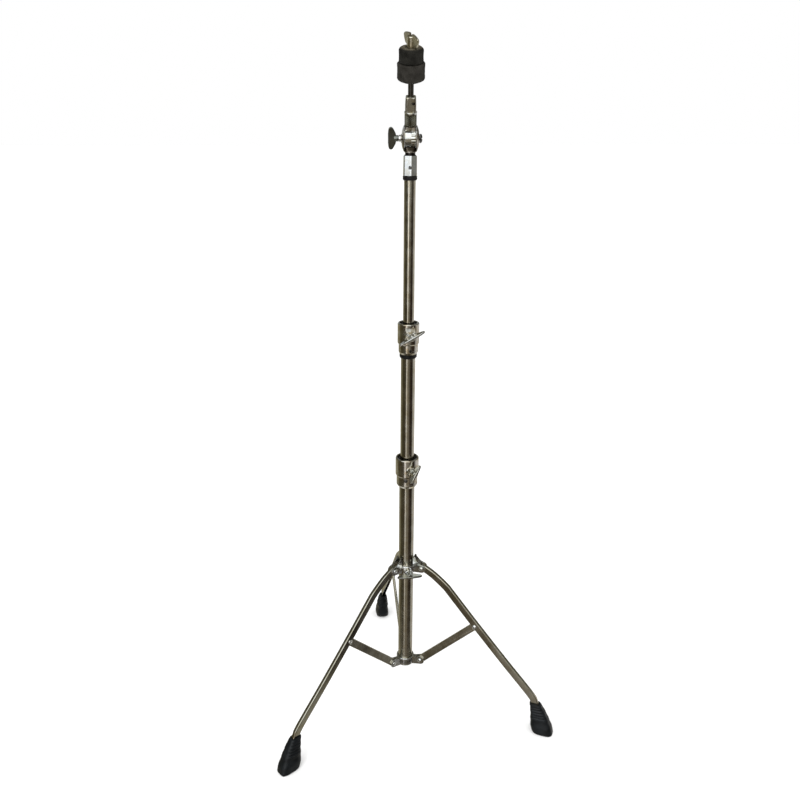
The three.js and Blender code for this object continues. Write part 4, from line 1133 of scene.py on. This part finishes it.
def key_bolt():
    stud = pin(KEY_RADIUS, UPPER_RADIUS + GAP, SLEEVE_RADIUS + KEY_RADIUS)
    head = loft([(wide, wide, KEY_SQUARENESS, SLEEVE_RADIUS + up) for wide, up in KEY_HEAD])
    dress(soften(join(stud, head), KEY_SOFT), "sleeve_key_bolt", HEAD_FRAME @ KEY_PLACE)


# Tilting arm, with the rod along Z
ARM_PLAY = 0.3
DRUM_EDGE = 0.8
DRUM_GROOVES = (-4.1, 0.9)
DRUM_GROOVE = [(0, 0), (-1, 0.1), (-1, 0.7), (0, 0.8)]
TOOTH_COUNT = 22
TOOTH_DEPTH = 0.5
TOOTH_START = 1.4
TOOTH_RIM = 0.6
TOOTH_SLOPE = 1.1
TOOTH_SIDES = TOOTH_COUNT * 8
BARREL_START, RING_START, BLOCK_START, BLOCK_END = 21, 40, 42.3, 65.6
BARREL_RADIUS = 9.6
BARREL_OVERLAP = 0.5

# Its stem and the shoulder beside it: width, depth, squareness and height
STEM = [(17.8, 8, 7, 0.5), (17.8, 8, 7, 18.2), (18.4, 14, 3, 20), (18.8, 18.4, 2.2, BARREL_START),
        (18.8, 18.8, 2, BARREL_START + 1)]
SHOULDER = [(7, 13.6, 6, 1), (7, 13.6, 6, 15), (6, 11, 4, BARREL_START + BARREL_OVERLAP)]
SHOULDER_OFFSET = 5.4
BARREL_SIDES = 160
BARREL_STEPS = 64
KNURL_COUNT = 20
KNURL_FLOOR = 0.55
KNURL_HEIGHT = 0.5
KNURL_MARGINS = (1.6, 1.2)
BEAD_RADIUS = 10
BEAD_HEIGHT = 2.6
BEAD_EDGE = 0.6
BLOCK_WIDTH, BLOCK_DEPTH = 17.4, 15
BLOCK_SQUARENESS = 6
BLOCK_TOP = [(-1.2, -0.8, -1.6), (-1.9, -1.5, -0.5), (-3, -2.6, 0)]
PANEL_DEPTH = 0.7
PANEL_RIM = 3.1
PANEL_FOOT = 1.6
PANEL_SHOULDER = 4.5
PANEL_PEAK = (0.6, 3)
PANEL_SOFT = 0.5
ARM_SOFT = 0.2
ROD_RADIUS = 4.4
ROD_SOCKET = 20
SCREW_RADIUS = 2
SCREW_PLACE = turn(30) @ shift(z=BLOCK_END - 9) @ FACING_FRONT


def tooth(radius, angle, height):
    """The drum's rim, toothed past its second groove."""
    if height < TOOTH_START or radius < DRUM_RADIUS - TOOTH_RIM:
        return radius
    return radius - TOOTH_DEPTH * min(max(0.5 - math.sin(angle * TOOTH_COUNT) * TOOTH_SLOPE, 0), 1)


def knurl(radius, angle, height):
    """Crossed spiral ridges round the barrel."""
    if not BARREL_START + KNURL_MARGINS[0] < height < RING_START - KNURL_MARGINS[1]:
        return radius
    pitch = 2 * math.pi * BARREL_RADIUS / KNURL_COUNT
    rising = 2 * math.pi * (height / pitch)
    ridge = max(math.cos(rising + KNURL_COUNT * angle), math.cos(rising - KNURL_COUNT * angle))
    return radius - KNURL_FLOOR + KNURL_HEIGHT * ridge


def arm_block():
    """The arm's upper block with a rounded top edge; the pointed panel on its front and back is cut into it in
    tilter_arm.
    """
    wide, deep, end = BLOCK_WIDTH, BLOCK_DEPTH, BLOCK_END
    middle = BLOCK_START + 0.5 * (end - BLOCK_START)
    sections = [(wide, deep, BLOCK_SQUARENESS, height) for height in (BLOCK_START, middle)]
    sections += [(wide + w, deep + d, BLOCK_SQUARENESS, end + up) for w, d, up in BLOCK_TOP]
    return loft(sections, SIDES)


def panel(side):
    half, foot, shoulder = BLOCK_WIDTH / 2 - PANEL_RIM, BLOCK_START + PANEL_FOOT, BLOCK_END - PANEL_SHOULDER
    right = [(half, foot), (half, shoulder), (PANEL_PEAK[0], BLOCK_END + PANEL_PEAK[1])]
    outline = [(-half, foot), *right, *((-x, z) for x, z in reversed(right[1:]))]
    low, high = sorted((side * (BLOCK_DEPTH / 2 - PANEL_DEPTH), side * BLOCK_DEPTH))
    return soften(prism(outline, low, high), PANEL_SOFT)


def tilter_arm():
    half = FORK_GAP / 2 - ARM_PLAY
    grooves = [spot for groove in DRUM_GROOVES for spot in near(DRUM_RADIUS, groove, DRUM_GROOVE)]
    ends = flank(DRUM_RADIUS, -half, half, DRUM_EDGE)
    body = placed(solid([*ends[:2], *grooves, *ends[2:]], TOOTH_SIDES, tooth), FACING_RIGHT)
    length = RING_START - BARREL_START
    ridges = [(BARREL_RADIUS, BARREL_START + length * i / BARREL_STEPS) for i in range(BARREL_STEPS + 1)]
    barrel = solid([*ridges, (BARREL_RADIUS, RING_START + BARREL_OVERLAP)], BARREL_SIDES, knurl)
    bead = solid(flank(BEAD_RADIUS, RING_START, RING_START + BEAD_HEIGHT, BEAD_EDGE))
    join(body, loft(STEM), placed(loft(SHOULDER), shift(SHOULDER_OFFSET)), barrel, bead, arm_block())
    cut(body, panel(-1), panel(1), pin(ROD_RADIUS + GAP, BLOCK_END - ROD_SOCKET, BLOCK_END + OVERRUN))
    cut(body, placed(pin(BOLT_RADIUS + GAP, -CHEEK_RADIUS, CHEEK_RADIUS), FACING_RIGHT))
    cut(body, placed(pin(SCREW_RADIUS + GAP, 0, BLOCK_WIDTH), SCREW_PLACE))
    dress(soften(body, ARM_SOFT, 2, CAST_ANGLE), "tilter_arm", ARM_FRAME, look="arm_chrome")


SCREW_LENGTH = 4.4
SOCKET_RADIUS = 1.1
SOCKET_START = 2.4
SOCKET_SIDES = 6


def set_screw():
    start = ROD_RADIUS + GAP
    body = pin(SCREW_RADIUS, start, start + SCREW_LENGTH)
    cut(body, pin(SOCKET_RADIUS, start + SOCKET_START, start + SCREW_LENGTH + OVERRUN, SOCKET_SIDES))
    dress(body, "rod_set_screw", ARM_FRAME @ SCREW_PLACE)


# Rod, washer, felts and top nut, stacked along the rod
THREAD_RADIUS = 3
THREAD_DEPTH = 0.3
THREAD_STEP = 0.25
ROD_EDGE = 0.6
ROD_SHOULDER = 87.6
ROD_TIP = [(-0.4, -0.5), (-1, 0)]
SEAT_START = ROD_SHOULDER + GAP
SEAT_RADIUS = 14
SEAT_THICKNESS = 1.6
SEAT_EDGE = 0.3
SEAT_RISE = 0.4
SLEEVE_SHORT = 2.4
FELT_SLEEVE_RADIUS = 4.7
LOWER_FELT_RADIUS, LOWER_FELT_HEIGHT = 21.3, 25.4
UPPER_FELT_RADIUS, UPPER_FELT_HEIGHT = 18.8, 21.3
LOWER_FELT_START = SEAT_START + SEAT_THICKNESS + GAP
UPPER_FELT_START = LOWER_FELT_START + LOWER_FELT_HEIGHT + GAP
NUT_START = UPPER_FELT_START + UPPER_FELT_HEIGHT + GAP
NUT_HEIGHT = 20.2
NUT_SINK = 1.2
NUT_TOP = 16
ROD_END = NUT_START - NUT_SINK + NUT_TOP - ROD_EDGE


def thread(radius, angle, height):
    if not ROD_SHOULDER + 1 < height < ROD_END - 1:
        return radius
    return radius - THREAD_DEPTH * abs(2 * ((height - angle / (2 * math.pi)) % 1) - 1)


def cymbal_rod():
    steps = int((ROD_END - ROD_SHOULDER - 2) / THREAD_STEP)
    spiral = [(THREAD_RADIUS, ROD_SHOULDER + 1 + THREAD_STEP * i) for i in range(steps + 1)]
    outline = [(ROD_RADIUS, BLOCK_END - ROD_SOCKET + GAP), (ROD_RADIUS, ROD_SHOULDER - ROD_EDGE),
               (ROD_RADIUS - ROD_EDGE, ROD_SHOULDER), (THREAD_RADIUS, ROD_SHOULDER), *spiral,
               *near(THREAD_RADIUS, ROD_END, ROD_TIP)]
    dress(solid(outline, SMALL_SIDES, thread), "cymbal_rod", ARM_FRAME, THREAD_BREAK)


def seat_washer():
    side = flank(SEAT_RADIUS, SEAT_START, SEAT_START + SEAT_THICKNESS, SEAT_EDGE, SEAT_RISE)
    dress(ring(THREAD_RADIUS + GAP, side), "seat_washer", ARM_FRAME)


def rod_sleeve():
    side = flank(FELT_SLEEVE_RADIUS, LOWER_FELT_START, NUT_START - SLEEVE_SHORT, 0.5)
    side[:2] = [(FELT_SLEEVE_RADIUS, LOWER_FELT_START)]
    dress(ring(THREAD_RADIUS + GAP, side, SMALL_SIDES), "rod_sleeve", ARM_FRAME)


FELT_BORE = 5.1
FELT_WAIST = 0.35
DENT_RADIUS = 9.5
DENT_EDGE = 2
BROAD_LUMPS, FINE_LUMPS = 0.16, 0.9
BROAD_DEPTH, FINE_DEPTH, TOP_DEPTH = 0.35, 0.22, 0.25
SIDE_STEPS, FLAT_STEPS, BORE_STEPS, ROUND_STEPS = 24, 14, 10, 8
SURFACE_MARGIN = 0.1


def felt(node, radius, start, height, low_round, high_round, seed, pressed, look):
    """A pressed felt disc with soft corners, a slight waist, an uneven surface and a dented top."""
    bore, straight = FELT_BORE, height - low_round - high_round
    waist = [(radius - FELT_WAIST * math.sin(i / SIDE_STEPS * math.pi), low_round + straight * i / SIDE_STEPS)
             for i in range(1, SIDE_STEPS)]
    floor_run, crown_run = radius - low_round - bore, radius - high_round - bore
    profile = [*((bore + floor_run * i / FLAT_STEPS, 0) for i in range(FLAT_STEPS + 1)),
               *arc((radius - low_round, low_round), low_round, -90, 0, ROUND_STEPS)[1:], *waist,
               *arc((radius - high_round, height - high_round), high_round, 0, 90, ROUND_STEPS),
               *((radius - high_round - crown_run * i / FLAT_STEPS, height)
                 for i in range(1, FLAT_STEPS + 1)),
               *((bore, height * (1 - i / BORE_STEPS)) for i in range(1, BORE_STEPS))]
    body = lathe(profile, FINE_SIDES)
    middle, top = height / 2, height - SURFACE_MARGIN
    for vertex in body.data.vertices:
        spot = vertex.co.copy()
        reach = math.hypot(spot.x, spot.y)
        if reach < bore + SURFACE_MARGIN and spot.z < top:
            continue
        broad = noise.noise(spot * BROAD_LUMPS + Vector((seed, 0, 0)))
        fine = noise.noise(spot * FINE_LUMPS + Vector((0, seed, 0)))
        factor = 1 - (BROAD_DEPTH * abs(broad) + FINE_DEPTH * max(fine, 0)) / reach
        vertex.co.x *= factor
        vertex.co.y *= factor
        vertex.co.z = middle + (spot.z - middle) * (1 - TOP_DEPTH * abs(fine) / middle)
        if spot.z > top:
            vertex.co.z -= pressed * min(max((DENT_RADIUS - reach) / DENT_EDGE, 0), 1)
    piece = dress(body, node, ARM_FRAME @ shift(z=start), NO_BREAK, look)


TOP_WING_SHARES = [(0.3, 0.075), (0.6, 0.08), (0.8, 0.2), (0.92, 0.4), (0.99, 0.6), (1, 0.7), (0.96, 0.78),
                   (0.85, 0.85), (0.7, 0.9), (0.5, 0.94), (0.34, 0.97), (0.2, 0.965)]
TOP_WING_SPAN = 47
TOP_WING_THICKNESS = 4
TOP_WING_TIP_SHARE = 0.8
TOP_WING_EDGE = 1.3
TOP_NUT_TURN = -64
TOP_NUT_HUB = [(6.1, 0), (6.6, 0.5), (6.6, 5), (6.3, 9), (6.4, NUT_TOP - 0.8), (5.9, NUT_TOP)]
TOP_NUT_BORE = [(THREAD_RADIUS + GAP, -OVERRUN), (THREAD_RADIUS + GAP, NUT_TOP - 3), (4.6, NUT_TOP - 2.4),
                (4.7, NUT_TOP + OVERRUN), (4.7, NUT_HEIGHT + OVERRUN)]


def top_wing_nut():
    """A wing nut whose wings stand above its hub, with the rod's end in sight in its bore."""
    blades = wings(TOP_WING_SPAN, NUT_HEIGHT, TOP_WING_SHARES, TOP_WING_THICKNESS, TOP_WING_TIP_SHARE,
                   TOP_WING_EDGE)
    body = cut(join(solid(TOP_NUT_HUB, SMALL_SIDES), blades), solid(TOP_NUT_BORE, SMALL_SIDES))
    place = ARM_FRAME @ shift(z=NUT_START - NUT_SINK) @ turn(TOP_NUT_TURN)
    dress(soften(body, WING_SOFT, 2, CAST_ANGLE), "top_wing_nut", place)


# Put the pieces together
HUB_WING_SPAN = 48.5
HUB_WING_TURN = -1

for node, body in frame["nodes"].items():
    body.data.materials.clear()
    body.data.materials.append(materials[slot_of[node]])

tube("base_tube", BASE_RADIUS)
tube("middle_tube", MIDDLE_RADIUS)
tube("upper_tube", UPPER_RADIUS)
stop_ring("upper_clamp_ring", MIDDLE_RADIUS + GAP)
stop_ring("upper_tube_ring", UPPER_RADIUS + GAP)
for name, clamp in CLAMPS.items():
    clamp_shell(name, clamp)
for name, clamp in CLAMPS.items():
    bushing(name + "_bushing", clamp)
clamp_pin("lower_clamp_rivet", CLAMPS["lower_clamp"], DOMED_HEAD)
clamp_pin("upper_clamp_pin", CLAMPS["upper_clamp"], SUNK_HEAD)
for name, clamp in CLAMPS.items():
    boss_face = clamp["outer"] + BOSS_REACH
    bolt_place = clamp["place"] @ shift(0, -boss_face, clamp["length"] - clamp["bolt_drop"])
    stud_length = boss_face - clamp["seat"] - SHOE_THICKNESS - GAP
    wing_bolt(name + "_wing_bolt", stud_length, clamp["wing_span"], clamp["wing_turn"], bolt_place)

hubs()
hub_stud = HUB_FACE - HUB_BORE - SHOE_THICKNESS - GAP
hub_bolt_place = MAST @ shift(0, -HUB_FACE, point("hub_wing_bolt_spin").z)
wing_bolt("hub_wing_bolt", hub_stud, HUB_WING_SPAN, HUB_WING_TURN, hub_bolt_place, "hub_nickel")

ears = 2 * (EAR_PLAY + EAR_WALL)
for side in SIDE_AZIMUTHS:
    leg(side)
    brace(side)
    boot(side)
    rivet("hub_rivet_" + side, LEG_WIDTH + ears, side_frame(side) @ shift(PIVOT_RADIUS, 0, UPPER_PIVOT))
    rivet("lower_rivet_" + side, BRACE_WIDTH + ears, side_frame(side) @ shift(PIVOT_RADIUS, 0, LOWER_PIVOT))
    rivet("knee_rivet_" + side, LEG_WIDTH, side_frame(side) @ shift(KNEE_RADIUS, 0, KNEE_HEIGHT))

for build_piece in (tilter_base, tilter_bolt, tilter_washer, tilter_wing_nut, tilter_sleeve, key_bolt,
                    tilter_arm, set_screw, cymbal_rod, seat_washer, rod_sleeve):
    build_piece()
felt("lower_felt", LOWER_FELT_RADIUS, LOWER_FELT_START, LOWER_FELT_HEIGHT, low_round=4, high_round=2,
     seed=3.7, pressed=0, look="dark_felt")
felt("upper_felt", UPPER_FELT_RADIUS, UPPER_FELT_START, UPPER_FELT_HEIGHT, low_round=2, high_round=5,
     seed=9.1, pressed=NUT_SINK + GAP, look="darker_felt")
top_wing_nut()


# Floor, light and camera
FLOOR_REACH = 30
FLOOR_GRAIN = (14, 4)
FLOOR_LIMITS = (0.3, 0.7)
FLOOR_TONES = ((0.86, 0.86, 0.855), (0.89, 0.89, 0.885))
FLOOR_ROUGHNESS = 0.9
FLOOR_GLOSS = 0.1


def floor():
    build = bmesh.new()
    corners = [(-1, -1), (1, -1), (1, 1), (-1, 1)]
    build.faces.new([build.verts.new((x * FLOOR_REACH, y * FLOOR_REACH, 0)) for x, y in corners])
    made = make(build)
    made.name = "floor"
    paint, tree, shader = start_material("pale floor", 0.0, FLOOR_ROUGHNESS)
    tone = two_tone(tree, pattern(tree, *FLOOR_GRAIN), FLOOR_LIMITS, *FLOOR_TONES)
    feed(tree, shader, {"Base Color": tone, "Specular IOR Level": FLOOR_GLOSS})
    made.data.materials.append(paint)
    made.visible_glossy = False


# What the metal mirrors: colours by azimuth in degrees to the right of the photograph's side of the mast,
# in rings from below upwards that fade into each other between two elevations
CAMERA_SIDE = 11.62
GROUND = (0.9, 0.9, 0.88)
UNDER = (0.09, 0.08, 0.065)
LOW_BOX = (0.55, 0.54, 0.51)
LOW_SIDE = (0.42, 0.41, 0.37)
LOW_BACK = (0.5, 0.49, 0.46)
SOFT_BOX = (1.5, 1.58, 1.68)
DIM = (0.15, 0.15, 0.13)
ROOM_DEEP = [(-180, GROUND), (-115, GROUND), (-85, UNDER), (85, UNDER), (115, GROUND), (180, GROUND)]
LOW_DARK = (0.08, 0.07, 0.05)
ROOM_LOW = [(-180, LOW_BACK), (-60, LOW_BOX), (-46, LOW_BOX), (-34, (0.09, 0.08, 0.055)), (0, LOW_DARK),
            (32, LOW_DARK), (42, LOW_BACK), (62, (0.45, 0.44, 0.41)), (72, LOW_SIDE), (102, LOW_SIDE),
            (114, LOW_BACK), (180, LOW_BACK)]
ROOM_LEVEL = [(-180, (0.3, 0.28, 0.2)), (-112, (0.34, 0.32, 0.24)), (-96, (0.09, 0.08, 0.045)),
              (-50, (0.07, 0.06, 0.04)), (-31, (0.14, 0.12, 0.09)), (-5, (0.3, 0.27, 0.23)),
              (18, (0.22, 0.2, 0.17)), (36, (0.05, 0.035, 0.025)), (78, (0.02, 0.015, 0.012)),
              (90, (0.6, 0.58, 0.58)), (150, (0.72, 0.7, 0.7)), (180, (0.4, 0.38, 0.32))]
ROOM_NEAR = [(-180, (0.62, 0.66, 0.7)), (-145, (0.5, 0.53, 0.55)), (-125, DIM), (-62, (0.12, 0.12, 0.1)),
             (-52, SOFT_BOX), (22, SOFT_BOX), (32, (0.27, 0.27, 0.26)), (90, (0.24, 0.24, 0.22)),
             (118, (0.13, 0.125, 0.09)), (154, (0.13, 0.125, 0.1)), (170, (0.3, 0.32, 0.33)),
             (180, (0.62, 0.66, 0.7))]
ROOM_HIGH = [(-180, DIM), (-120, DIM), (-62, (0.12, 0.12, 0.1)), (-52, SOFT_BOX), (22, SOFT_BOX),
             (32, (0.27, 0.27, 0.26)), (90, (0.24, 0.24, 0.22)), (120, (0.17, 0.165, 0.14)), (180, DIM)]
ROOM_FADES = [(-62, -52), (-42.5, -39.5), (-4.5, -0.5), (16, 22)]

# A narrow upright strip of light: its share by azimuth and its power by elevation
STRIP_SHARES = [(-180, 0), (-29, 0), (-25, 1), (-15, 1), (-10, 0), (180, 0)]
STRIP_POWERS = [(-90, 0.05), (-60, 0.1), (-45, 0.25), (-38, 0.36), (-34.5, 0.75), (-31, 0.75), (-28.5, 1.1),
                (-25, 0.7), (-20, 0.95), (-14, 1.2), (-6, 2.1), (-1, 2.1), (6, 0.5), (90, 0.2)]
STRIP_TINT = 0.98

# Uneven walls, in lumps over the whole room
WALL_LUMPS = 2.6
WALL_DETAIL = 3
WALL_SHADES = [(0.35, (0.75, 0.75, 0.73)), (0.65, (1.25, 1.23, 1.18))]


def by_angle(tree, angle, reach, stops):
    """Colours by an angle in radians, with their places in degrees."""
    share = spread(tree, angle, (math.radians(-reach), math.radians(reach)))
    return ramp(tree, share, [((place + reach) / (2 * reach), colour) for place, colour in stops])


def studio():
    """White for the eye and for soft light, and a darker room with soft boxes in what the metal mirrors."""
    world = bpy.data.worlds.new("studio")
    bpy.context.scene.world = world
    world.use_nodes = True
    tree = world.node_tree
    back = tree.nodes["Background"]
    place = place_in(tree, "Generated")
    mapping = add(tree, "Mapping", {"Vector": place, "Rotation": (0, 0, math.radians(CAMERA_SIDE))})
    split = add(tree, "SeparateXYZ", {"Vector": mapping.outputs["Vector"]}).outputs
    ahead = add(tree, "Math", {0: split["Y"], 1: -1.0}, operation="MULTIPLY").outputs[0]
    azimuth = add(tree, "Math", {0: split["X"], 1: ahead}, operation="ARCTAN2").outputs[0]
    elevation = add(tree, "Math", {0: split["Z"]}, operation="ARCSINE").outputs[0]
    room = by_angle(tree, azimuth, 180, ROOM_DEEP)
    for stops, fade in zip((ROOM_LOW, ROOM_LEVEL, ROOM_NEAR, ROOM_HIGH), ROOM_FADES):
        share = spread(tree, elevation, [math.radians(limit) for limit in fade])
        room = mixed(tree, share, room, by_angle(tree, azimuth, 180, stops))
    strip = by_angle(tree, azimuth, 180, [(turned, (share,) * 3) for turned, share in STRIP_SHARES])
    tints = [(up, (power, power * STRIP_TINT, power)) for up, power in STRIP_POWERS]
    glow = by_angle(tree, elevation, 90, tints)
    lumps = add(tree, "TexNoise", {"Vector": place, "Scale": WALL_LUMPS, "Detail": WALL_DETAIL})
    walls = times(tree, room, ramp(tree, lumps.outputs["Fac"], WALL_SHADES))
    seen = mixed(tree, 1.0, walls, times(tree, strip, glow), "ADD")
    rays = add(tree, "LightPath", {})
    shown = mixed(tree, rays.outputs["Is Glossy Ray"], (*WHITE, 1), seen)
    feed(tree, back, {"Color": shown, "Strength": 1.0})


def light(name, kind, place, aim, power, **settings):
    data = bpy.data.lights.new(name, kind)
    data.energy = power
    for setting, value in settings.items():
        setattr(data, setting, value)
    made = bpy.data.objects.new(name, data)
    made.location = place
    made.rotation_euler = (Vector(aim) - Vector(place)).to_track_quat("-Z", "Y").to_euler()
    made.visible_glossy = False
    bpy.context.scene.collection.objects.link(made)


# The photograph's camera, as a place in metres and angles in degrees, from the mast's foot
CAMERA_DISTANCE = 1.2634
CAMERA_HEIGHT = 1.1499
CAMERA_PITCH = 20.779
CAMERA_YAW = -0.632
CAMERA_ROLL = 0.357
FOCAL_PIXELS = 750
PHOTO_WIDTH = 800
SENSOR = 36
CLIP_START = 0.01


def camera():
    data = bpy.data.cameras.new("camera")
    data.sensor_width = SENSOR
    data.lens = SENSOR * FOCAL_PIXELS / PHOTO_WIDTH
    data.clip_start = CLIP_START
    made = bpy.data.objects.new("camera", data)
    yaw, pitch, roll = (math.radians(a) for a in (CAMERA_YAW, CAMERA_PITCH, CAMERA_ROLL))
    ahead = Vector((math.sin(yaw) * math.cos(pitch), math.cos(yaw) * math.cos(pitch), -math.sin(pitch)))
    right = Vector((math.cos(yaw), -math.sin(yaw), 0))
    up = right.cross(ahead)
    level = right * math.cos(roll) + up * math.sin(roll)
    upward = up * math.cos(roll) - right * math.sin(roll)
    look = Matrix((level, upward, -ahead)).transposed().to_4x4()
    stand_place = Matrix.Translation(MAST.translation * MM) @ turn(-CAMERA_SIDE)
    made.matrix_world = stand_place @ shift(0, -CAMERA_DISTANCE, CAMERA_HEIGHT) @ look
    bpy.context.scene.collection.objects.link(made)
    bpy.context.scene.camera = made


# Lights: name, kind, place and aim in metres, power and spread
STAND_MIDDLE = (0, 0, 0.6)
LIGHTS = [
    ("soft sun", "SUN", (0, 0, 0), (0.25, 0.35, -1), 0.9, dict(angle=math.radians(50))),
    ("key light", "AREA", (-1.6, -2.2, 2.6), STAND_MIDDLE, 30, dict(size=1.4)),
    ("fill light", "AREA", (2.4, -1.2, 1.8), STAND_MIDDLE, 14, dict(size=1.6)),
]
floor()
studio()
for *values, extent in LIGHTS:
    light(*values, **extent)
camera()
bpy.context.scene.view_settings.view_transform = "Standard"
